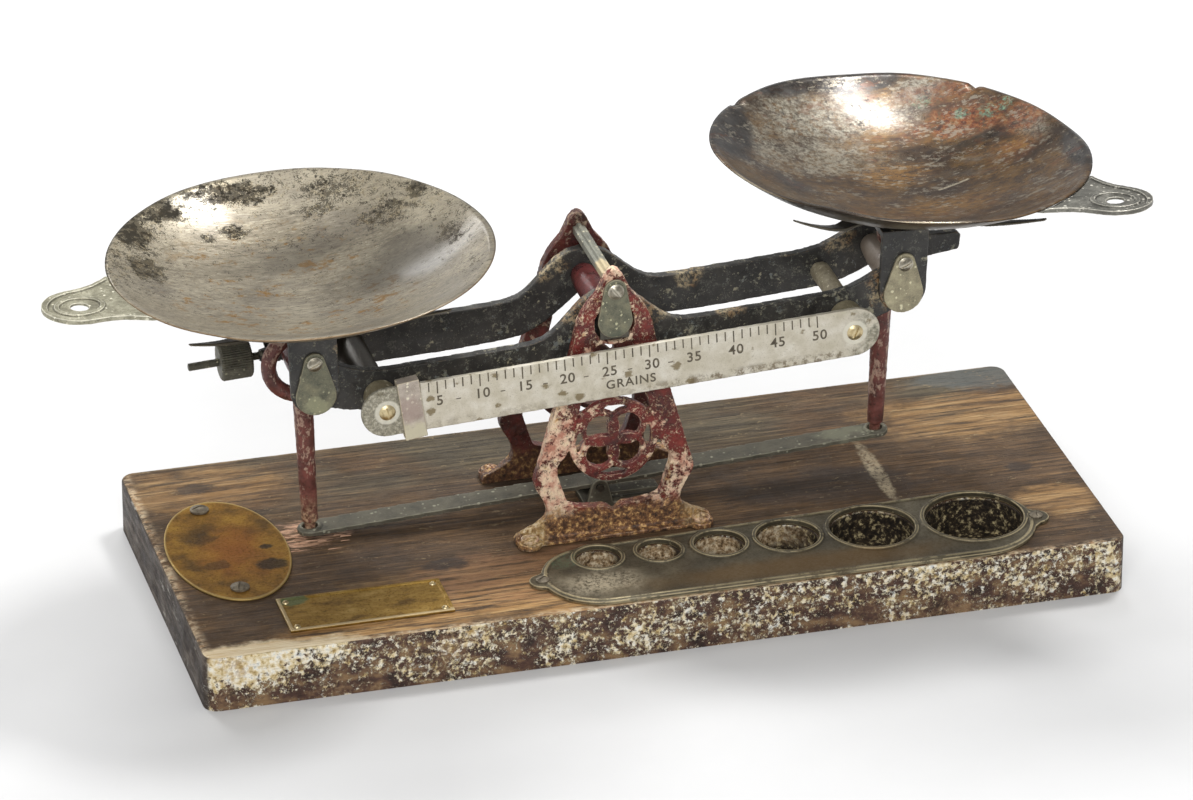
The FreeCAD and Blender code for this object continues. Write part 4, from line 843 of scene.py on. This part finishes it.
def lathe_dish(name, node, material, body, centre, axis, radius, depth, wall, wave, nicks, lean):
    """A thin bowl about an axis: a spherical sheet with a rounded, slightly wavy rim."""
    ball = (radius * radius + depth * depth) / (2 * depth)
    up = axis.normalized()
    turn = Vector((0, 0, 1)).rotation_difference(up).to_matrix()
    around, rings = 288, 64
    widest = math.asin(radius / ball)
    mesh = bmesh.new()
    sheet = []
    for inside in (True, False):
        r = ball - wall if inside else ball
        limit = widest if not inside else math.acos((ball - depth) / r)
        layer = []
        for i in range(rings + 1):
            share = i / rings
            row = []
            for k in range(around):
                a = 2 * math.pi * k / around
                sweep = limit * share
                drop = wave(a) * share ** 6
                for at, width, deep in nicks:
                    away = (a - at + math.pi) % (2 * math.pi) - math.pi
                    drop += deep * math.exp(-(away / width) ** 2) * share ** 60
                out = r * math.sin(sweep) - lean(a) * share ** 9
                dent = noise.noise(Vector((out * math.cos(a), out * math.sin(a), 3.0)) * 0.045) * 0.35 * share
                z = ball - r * math.cos(sweep) - drop + dent
                row.append(Vector((out * math.cos(a), out * math.sin(a), z)))
                if i == 0:
                    break
            layer.append(row)
        sheet.append(layer)
    lip = []
    for k in range(around):
        a, b = sheet[0][-1][k], sheet[1][-1][k]
        lip.append((a + b) / 2 + Vector((0, 0, wall * 0.12)))
    place = Vector(centre)
    put = lambda v: mesh.verts.new((place + turn @ v) * MM)
    grids = [[[put(v) for v in row] for row in layer] for layer in sheet]
    crown = [put(v) for v in lip]
    for which, grid in enumerate(grids):
        flip = which == 1
        for k in range(around):
            n = (k + 1) % around
            tri = (grid[0][0], grid[1][k], grid[1][n])
            mesh.faces.new(tri[::-1] if flip else tri)
            for i in range(1, rings):
                quad = (grid[i][k], grid[i + 1][k], grid[i + 1][n], grid[i][n])
                mesh.faces.new(quad[::-1] if flip else quad)
    for k in range(around):
        n = (k + 1) % around
        mesh.faces.new((grids[0][-1][k], crown[k], crown[n], grids[0][-1][n]))
        mesh.faces.new((crown[k], grids[1][-1][k], grids[1][-1][n], crown[n]))
    bmesh.ops.recalc_face_normals(mesh, faces=mesh.faces)
    data = bpy.data.meshes.new(name)
    mesh.to_mesh(data)
    mesh.free()
    for polygon in data.polygons:
        polygon.use_smooth = True
    return new_object(name, data, body, material, slot_of(node), node)


def revolve_x(name, profile, around, centre, body, material, slot, ridge=0.0, ridges=0, stands_for=()):
    """A turned piece along the beam's length: profile is (along, radius); ridges cut grooves round it."""
    mesh = bmesh.new()
    rows = []
    for along, radius in profile:
        row = []
        for k in range(around):
            a = 2 * math.pi * k / around
            r = radius
            if ridges and radius > 0:
                r -= ridge * (0.5 + 0.5 * math.cos(ridges * a)) * min(1.0, radius / 6.0)
            spot = beam_place(centre[0] + along, centre[1] + r * math.cos(a), centre[2] + r * math.sin(a))
            row.append(mesh.verts.new(spot))
        rows.append(row)
    for first, second in zip(rows, rows[1:]):
        for k in range(around):
            n = (k + 1) % around
            mesh.faces.new((first[k], first[n], second[n], second[k]))
    for row in (rows[0], rows[-1]):
        mesh.faces.new(row)
    bmesh.ops.recalc_face_normals(mesh, faces=mesh.faces)
    data = bpy.data.meshes.new(name)
    mesh.to_mesh(data)
    mesh.free()
    return new_object(name, data, body, material, slot, *stands_for)


def beam_prism(mesh, x0, x1, z0, z1, y_face, proud, lean=0.0):
    """A thin mark on the bar's face, as a low box; lean shifts its top sideways."""
    corners = [(x0 + lean, z1), (x1 + lean, z1), (x1, z0), (x0, z0)]
    front = [mesh.verts.new(beam_place(x, y_face - proud, z)) for x, z in corners]
    rear = [mesh.verts.new(beam_place(x, y_face + 0.05, z)) for x, z in corners]
    mesh.faces.new(front)
    mesh.faces.new(rear[::-1])
    for k in range(4):
        n = (k + 1) % 4
        mesh.faces.new((front[n], front[k], rear[k], rear[n]))


def lettering(text, size, x, z, material, name, spread=1.0):
    """Stamped characters on the bar's face."""
    curve = bpy.data.curves.new(name, "FONT")
    curve.body = text
    curve.size = size * MM
    curve.align_x = "CENTER"
    curve.align_y = "CENTER"
    curve.space_character = spread
    curve.offset = 0.00008
    curve.extrude = 0.00004
    work = bpy.data.objects.new(name + "_work", curve)
    bpy.context.scene.collection.objects.link(work)
    bpy.context.view_layer.update()
    mesh = bpy.data.meshes.new_from_object(work.evaluated_get(bpy.context.evaluated_depsgraph_get()))
    bpy.data.objects.remove(work)
    origin = beam_place(x, GRAIN_FACE_Y - 0.01, z)
    turn = Matrix.Rotation(-REST_TILT, 4, "Y") @ Matrix.Rotation(math.radians(90), 4, "X")
    mesh.transform(Matrix.Translation(origin) @ turn)
    return new_object(name, mesh, "beam", material, "grain_plate")


# ---------------------------------------------------------------- materials of the pieces
stand_front = stand_paint("stand_front", 0.545, 0.0, 0.0)
# the rear frame: fewer chips, and painted shade over the whole paint
stand_rear = stand_paint("stand_rear", 0.60, 0.55, 60.0)
stem_maroon = rod_paint("stem_maroon", lin(78, 44, 38), lin(122, 68, 60), lin(190, 160, 140), 0.54, lin(200, 166, 134), 20.0)
strut_red = rod_paint("strut_red", lin(70, 30, 30), lin(112, 52, 50), lin(150, 120, 112), 0.66, None, 40.0, 0.32)
beam_black = japan(
    "beam_black",
    0.0,
    (
        ((-22.0, -11.0, 116.0), (9.0, 8.0, 8.0)),
        ((9.0, -11.0, 112.0), (9.0, 8.0, 7.0)),
        ((-23.0, 26.0, 116.0), (9.0, 8.0, 7.0)),
        ((34.0, 26.0, 104.0), (7.0, 6.0, 5.0)),
        ((40.0, -12.0, 106.5), (6.0, 8.0, 3.0)),
        ((92.0, 26.0, 113.0), (8.0, 8.0, 7.0)),
        ((100.0, -12.0, 108.0), (7.0, 8.0, 8.0)),
    ),
)
carrier_black = japan("carrier_black", 50.0, (((101.0, -17.0, 104.0), (5.0, 6.0, 5.0)), ((-112.0, -17.0, 112.0), (2.2, 5.0, 2.2))), 0.57)
COVER_STAINS = (
    ((-7.5, -22.0, 97.0), (5.0, 6.0, 4.5), lin(186, 184, 140), 0.85, 0.9),
    ((-7.5, -22.0, 104.0), (4.0, 6.0, 4.0), lin(82, 88, 74), 0.7, 0.7),
    ((-121.0, -18.0, 90.0), (5.0, 6.0, 3.5), lin(160, 160, 128), 0.6, 0.9),
)
cover_grey = metal("cover_grey", (lin(58, 62, 54), lin(106, 106, 90), lin(142, 138, 112)), lin(206, 202, 166), COVER_STAINS, (0.4, 0.6), 0.35, 0.2, None, 3.0, 0.14, lin(150, 142, 118))
cover_pale = metal("cover_pale", (lin(84, 80, 66), lin(148, 140, 116), lin(190, 182, 150)), lin(230, 224, 190), (), (0.4, 0.6), 0.35, 0.2, None, 9.0, 0.14, lin(170, 160, 132))
screw_grey = metal("screw_grey", (lin(84, 80, 70), lin(132, 126, 112), lin(178, 170, 152)), None, (), (0.3, 0.45), 0.9, 0.5, None, 13.0, 0.06, lin(210, 204, 188))
screw_dull = metal("screw_dull", (lin(70, 62, 50), lin(112, 102, 86), lin(150, 140, 122)), None, (), (0.45, 0.6), 0.5, 0.5, None, 15.0, 0.08)
screw_brass = metal("screw_brass", (lin(104, 82, 50), lin(150, 126, 84), lin(206, 184, 138)), None, (), (0.28, 0.42), 0.95, 0.5, None, 17.0, 0.06, lin(228, 212, 170))
knife_metal = metal("knife_metal", (lin(56, 54, 50), lin(92, 88, 80), lin(122, 118, 108)), lin(150, 142, 122), (), (0.35, 0.5), 0.8, 0.3, None, 19.0)
stay_metal = metal("stay_metal", (lin(64, 62, 54), lin(92, 88, 76), lin(112, 108, 94)), lin(164, 162, 142), (((92.0, 7.0, 34.0), (12.0, 8.0, 6.0), lin(128, 128, 108), 0.7, 0.7),), (0.42, 0.6), 0.35, 0.12, (0.2, 1, 1), 23.0, 0.12, lin(142, 138, 120))
tie_metal = metal("tie_metal", (lin(92, 92, 84), lin(132, 132, 120), lin(170, 168, 152)), lin(206, 198, 168), (((-7.5, -8.0, 128.0), (6.0, 7.0, 6.0), lin(206, 188, 150), 0.8, 0.7),), (0.36, 0.55), 0.45, 0.14, None, 29.0, 0.12)
spacer_dark = metal("spacer_dark", (lin(44, 40, 33), lin(64, 59, 50), lin(86, 80, 70)), None, (), (0.3, 0.45), 0.4, 0.1, None, 31.0, 0.08)
spacer_cream = metal("spacer_cream", (lin(112, 102, 82), lin(150, 140, 116), lin(196, 186, 160)), lin(220, 212, 186), (), (0.55, 0.75), 0.05, 0.3, None, 33.0, 0.25)
strut_pink = metal("strut_pink", (lin(128, 114, 102), lin(160, 146, 132), lin(186, 172, 156)), None, (), (0.4, 0.55), 0.1, 0.08, None, 35.0, 0.06)
standoff_cream = metal("standoff_cream", (lin(104, 96, 74), lin(142, 132, 106), lin(176, 166, 138)), lin(206, 198, 170), (), (0.45, 0.65), 0.3, 0.2, None, 37.0, 0.16)
poise_metal = metal(
    "poise_metal",
    (lin(140, 128, 116), lin(180, 168, 156), lin(210, 200, 186)),
    lin(236, 230, 208),
    (((-87.0, -26.0, 79.0), (8.0, 6.0, 4.5), lin(206, 200, 172), 0.8, 0.8), ((-88.0, -26.0, 88.0), (5.0, 6.0, 6.0), lin(156, 132, 124), 0.5, 0.6)),
    (0.4, 0.6), 0.4, 0.2, None, 39.0, 0.1, lin(200, 188, 160),
)
nut_metal = metal("nut_metal", (lin(58, 58, 50), lin(90, 88, 76), lin(124, 120, 104)), lin(170, 166, 140), (), (0.45, 0.65), 0.4, 0.3, None, 41.0, 0.2)
spider_metal = metal("spider_metal", (lin(40, 37, 32), lin(66, 62, 54), lin(92, 88, 78)), None, (), (0.35, 0.5), 0.6, 0.2, None, 43.0, 0.1, lin(120, 112, 96))
left_handle_metal = metal(
    "left_handle_metal", (lin(96, 92, 74), lin(148, 144, 122), lin(196, 192, 170)), lin(226, 222, 200),
    (), (0.34, 0.5), 0.6, 0.16, (0.2, 1, 1), 45.0, 0.1, lin(226, 222, 204), 0.52,
)
right_handle_metal = metal(
    "right_handle_metal", (lin(70, 68, 62), lin(112, 110, 102), lin(158, 156, 146)), lin(206, 202, 188),
    (), (0.3, 0.45), 0.8, 0.16, (0.2, 1, 1), 47.0, 0.1, lin(220, 216, 202), 0.54,
)
mark_dark = metal("mark_dark", (lin(66, 58, 46), lin(86, 78, 64), lin(122, 112, 94)), None, (), (0.6, 0.8), 0.0, 0.5, None, 49.0, 0.02)
sliver_wood = metal("sliver_wood", (lin(150, 110, 84), lin(190, 148, 120), lin(214, 178, 150)), None, (), (0.6, 0.8), 0.0, 0.4, (0.2, 1, 1), 51.0, 0.1)

# ---------------------------------------------------------------- base
assign("base_board", wood())
reworked("stand_frame_front", stand_front, 0.42, 3, 0.45, 2.2)
reworked("stand_frame_rear", stand_rear, 0.42, 3, 0.45, 2.2)
reworked("stand_tie_bar", tie_metal, 0.3, 3, 0.2, 2.0)
reworked("weight_rack", rack_metal(), 0.33, 3, 0.06, 4.0)
reworked("oval_tag", tag_metal(), 0.33, 3, 0.1, 5.0)
reworked("nameplate", nameplate_metal(), 0.3, 2, 0.06, 4.0)
assign("nameplate_pins", screw_brass)
assign("stand_bearings", knife_metal)
for node in ("stand_cover_front", "stand_cover_rear"):
    reworked(node, cover_grey, 0.28, 4)
assign("stand_cover_screws", screw_grey)
assign("rack_screws", screw_dull)
assign("tag_screws", screw_dull)
assign("stand_foot_screws", stand_front)
reworked("stay_bracket", stay_metal, 0.35, 2, 0.1)
assign("stay_pin", knife_metal)

# torn fibres of wood round the left stem's foot
fibres = bmesh.new()
for k in range(26):
    pick = [noise.noise(Vector((k * 3.7, row * 5.3, 1.0))) for row in range(5)]
    length = 4.0 + 5.0 * abs(pick[0])
    x = -120.0 + 26.0 * pick[1]
    y = 6.0 + 16.0 * pick[2]
    width = 0.35 + 0.5 * abs(pick[3])
    rise = 0.35 + 0.5 * abs(pick[4])
    low = BOARD_TOP - 0.1
    ring = [(x, y, low), (x + length, y + 0.8 * pick[3], low), (x + length, y + width, low), (x, y + width, low)]
    ridge = [(x + 0.6, y + width / 2, low + rise), (x + length * 0.8, y + width / 2, low + 0.15 + rise * 0.3)]
    base = [fibres.verts.new(Vector(v) * MM) for v in ring]
    crest = [fibres.verts.new(Vector(v) * MM) for v in ridge]
    fibres.faces.new(base[::-1])
    fibres.faces.new((base[0], base[1], crest[1], crest[0]))
    fibres.faces.new((base[1], base[2], crest[1]))
    fibres.faces.new((base[2], base[3], crest[0], crest[1]))
    fibres.faces.new((base[3], base[0], crest[0]))
data = bpy.data.meshes.new("torn_fibres")
fibres.to_mesh(data)
fibres.free()
new_object("torn_fibres", data, "base", sliver_wood, "base_wood")

# ---------------------------------------------------------------- stay
reworked("stay_link", stay_metal, 0.4, 2, 0.12, 3.0)

# ---------------------------------------------------------------- beam
for node in ("beam_bar_front", "beam_bar_rear"):
    reworked(node, beam_black, 0.45, 3, 0.22, 2.5)
reworked("beam_strut_centre", strut_red, 0.4, 2, 0.1)
reworked("beam_strut_left", strut_red, 0.4, 2, 0.1)
reworked("beam_strut_right", strut_pink, 0.4, 2, 0.06)
assign("beam_spacer_left", spacer_dark)
reworked("beam_spacer_right", spacer_cream, 0.35, 2, 0.3, 1.6)
for node in ("centre_knives", "left_end_knives", "right_end_knives"):
    assign(node, knife_metal)
reworked("grain_bar", grain_plate(), 0.32, 2, 0.03, 5.0)
reworked("grain_standoffs", standoff_cream, 0.35, 2, 0.12)
assign("grain_screws", screw_brass)

# graduations: one tick a step, longer at every fifth, and a numeral under each fifth
marks = bmesh.new()
for grain in range(2, 51):
    x = TICK_LAST + (grain - 50) * TICK_STEP
    wobble = noise.noise(Vector((grain * 1.37, 0.3, 0.0)))
    length = 4.9 if grain % 5 == 0 else 3.7
    width = 0.5 + 0.12 * noise.noise(Vector((grain * 2.1, 5.0, 0.0)))
    top = GRAIN_TOP - 0.35
    beam_prism(marks, x - width / 2, x + width / 2, top - length - 0.3 * wobble, top, GRAIN_FACE_Y, 0.035, 0.12 * wobble)
for grain in (7.4, 12.6, 17.6, 22.4, 27.6, 32.4):
    x = TICK_LAST + (grain - 50) * TICK_STEP
    beam_prism(marks, x - 0.9, x + 0.9, -12.9, -12.5, GRAIN_FACE_Y, 0.03)
data = bpy.data.meshes.new("grain_ticks")
marks.to_mesh(data)
marks.free()
new_object("grain_ticks", data, "beam", mark_dark, "grain_plate")
for grain in range(5, 51, 5):
    x = TICK_LAST + (grain - 50) * TICK_STEP + 0.7
    lettering(str(grain), 5.6, x, -12.3, mark_dark, f"grain_number_{grain}", 1.1)
lettering("GRAINS", 5.0, 4.0, -18.0, mark_dark, "grain_unit", 1.15)

# balance rod with its thread, and the knurled nut
ROD_R, ROD_TIP, ROD_START, ROD_Y, ROD_Z = 1.55, -153.1, -126.0, 25.5, -8.0
thread = []
turns = 54
for i in range(turns * 2 + 1):
    along = ROD_TIP + (ROD_START - ROD_TIP) * i / (turns * 2)
    thread.append((along, ROD_R if i % 2 else ROD_R - 0.16))
thread[0] = (ROD_TIP, ROD_R - 0.5)
revolve_x("balance_rod_thread", thread, 28, (0.0, ROD_Y, ROD_Z), "beam", nut_metal, "nut_steel", stands_for=("balance_rod",))
NUT_X, NUT_HALF, NUT_R, HOLE_R = -135.3, 6.1, 7.4, 1.61
nut_profile = [(-NUT_HALF, HOLE_R), (-NUT_HALF, NUT_R - 1.1), (-NUT_HALF + 0.35, NUT_R - 0.45), (-NUT_HALF + 0.9, NUT_R)]
steps = 12
for i in range(1, steps):
    nut_profile.append((-NUT_HALF + 0.9 + (2 * NUT_HALF - 1.8) * i / steps, NUT_R - 0.05 * (i % 2)))
nut_profile += [(NUT_HALF - 0.9, NUT_R), (NUT_HALF - 0.35, NUT_R - 0.45), (NUT_HALF, NUT_R - 1.1), (NUT_HALF, HOLE_R), (-NUT_HALF, HOLE_R)]
revolve_x("balance_nut_knurled", nut_profile[:-1], 240, (NUT_X, ROD_Y, ROD_Z), "nut", nut_metal, "nut_steel", 0.42, 48, ("balance_nut",))
reworked("poise_band", poise_metal, 0.26, 2, 0.08, 2.0)

# ---------------------------------------------------------------- carriers
for side, cover in (("left", cover_grey), ("right", cover_pale)):
    reworked(side + "_yoke", carrier_black, 0.4, 3, 0.2, 2.5)
    reworked(side + "_stem", stem_maroon, 0.42, 3, 0.25, 2.0)
    reworked(side + "_spider", spider_metal, 0.34, 2, 0.06)
    reworked(side + "_cheek_covers", cover, 0.28, 4, 0.04)
    assign(side + "_bearings", knife_metal)
    assign(side + "_cover_screws", screw_grey)

# ---------------------------------------------------------------- pans
LEFT_CENTRE = (-119.53, 7.0, 120.3)
RIGHT_CENTRE = (110.45, 6.76, 134.35)
LEFT_AXIS = Vector((math.sin(math.radians(-1.9)), 0.0, math.cos(math.radians(1.9))))
RIGHT_AXIS = Vector((0.0627, 0.0107, 0.998))


def left_wave(a):
    return 0.25 * math.sin(2 * a + 0.7) + 0.15 * math.sin(5 * a)


def right_wave(a):
    return 0.35 * math.sin(3 * a + 1.0) + 0.25 * math.sin(5 * a + 0.4) + 0.2 * math.sin(9 * a) - 1.3 * right_bend(a)


def right_bend(a):
    """How far the rim is bent in, as a share: most towards the front left."""
    away = (a - math.radians(238.0) + math.pi) % (2 * math.pi) - math.pi
    return math.exp(-(away / math.radians(30.0)) ** 2)


RIGHT_NICKS = ((math.radians(49), 0.02, 1.6), (math.radians(134), 0.03, 1.2))
lathe_dish("left_pan_bowl", "left_pan_dish", left_pan(), "left_pan", LEFT_CENTRE, LEFT_AXIS, 72.25, 21.0, 1.2, left_wave, (), lambda a: 0.0)
lathe_dish("right_pan_bowl", "right_pan_dish", right_pan(), "right_pan", RIGHT_CENTRE, RIGHT_AXIS, 72.25, 21.0, 1.2, right_wave, RIGHT_NICKS, lambda a: 2.6 * right_bend(a))
reworked("left_pan_handle", left_handle_metal, 0.26, 2, 0.06, 4.0)
reworked("right_pan_handle", right_handle_metal, 0.26, 2, 0.06, 4.0)

# ---------------------------------------------------------------- camera, light and floor
camera_data = bpy.data.cameras.new("camera")
camera_data.lens = 211.39
camera_data.sensor_width = 36.0
camera_data.clip_start = 0.1
camera_data.clip_end = 50.0
camera = bpy.data.objects.new("camera", camera_data)
bpy.context.scene.collection.objects.link(camera)
TARGET = Vector((-8.79, 0.0, 68.60)) * MM
azimuth, elevation, distance = math.radians(-15.305), math.radians(26.956), 2.63966
back = Vector((math.sin(azimuth) * math.cos(elevation), -math.cos(azimuth) * math.cos(elevation), math.sin(elevation)))
camera.location = TARGET + back * distance
camera.rotation_mode = "QUATERNION"
camera.rotation_quaternion = (-back).to_track_quat("-Z", "Y")
bpy.context.scene.camera = camera


def softbox(name, direction, distance, width, height, power, mirrored=True):
    data = bpy.data.lights.new(name, "AREA")
    data.shape = "RECTANGLE"
    data.size = width
    data.size_y = height
    data.energy = power
    lamp = bpy.data.objects.new(name, data)
    bpy.context.scene.collection.objects.link(lamp)
    way = Vector(direction).normalized()
    lamp.location = Vector((0.0, 0.0, 0.1)) + way * distance
    lamp.rotation_mode = "QUATERNION"
    lamp.rotation_quaternion = (-way).to_track_quat("-Z", "Y")
    lamp.visible_glossy = mirrored


softbox("key", (0.36, 0.29, 0.89), 1.8, 0.38, 0.28, 17.0)
softbox("overhead", (0.05, 0.10, 1.0), 2.2, 1.5, 1.0, 7.0)
softbox("glow", (-0.27, 0.85, 0.42), 2.4, 0.7, 0.4, 7.0)
softbox("rear", (-0.05, 0.62, 0.78), 2.2, 1.3, 0.45, 30.0, False)
softbox("front", (-0.35, -1.0, 0.75), 2.4, 1.25, 1.0, 27.0)

world = bpy.data.worlds.new("studio")
bpy.context.scene.world = world
world.use_nodes = True
world.node_tree.nodes["Background"].inputs[0].default_value = (1.0, 1.0, 1.0, 1.0)
world.node_tree.nodes["Background"].inputs[1].default_value = 0.44

floor_mesh = bpy.data.meshes.new("floor")
FLOOR = 6.0
floor_mesh.from_pydata(
    [(-FLOOR, -FLOOR, 0.0), (FLOOR, -FLOOR, 0.0), (FLOOR, FLOOR, 0.0), (-FLOOR, FLOOR, 0.0)], [], [(0, 1, 2, 3)]
)
floor = bpy.data.objects.new("floor", floor_mesh)
bpy.context.scene.collection.objects.link(floor)
paper = Paint("paper")
grain = paper.noise(0.05, 3.0, 0.5)
floor_mesh.materials.append(paper.finish(paper.tones(grain, (0.0, (0.61, 0.61, 0.61)), (1.0, (0.63, 0.63, 0.63))), 0.9))
bpy.context.scene.view_settings.view_transform = "Standard"
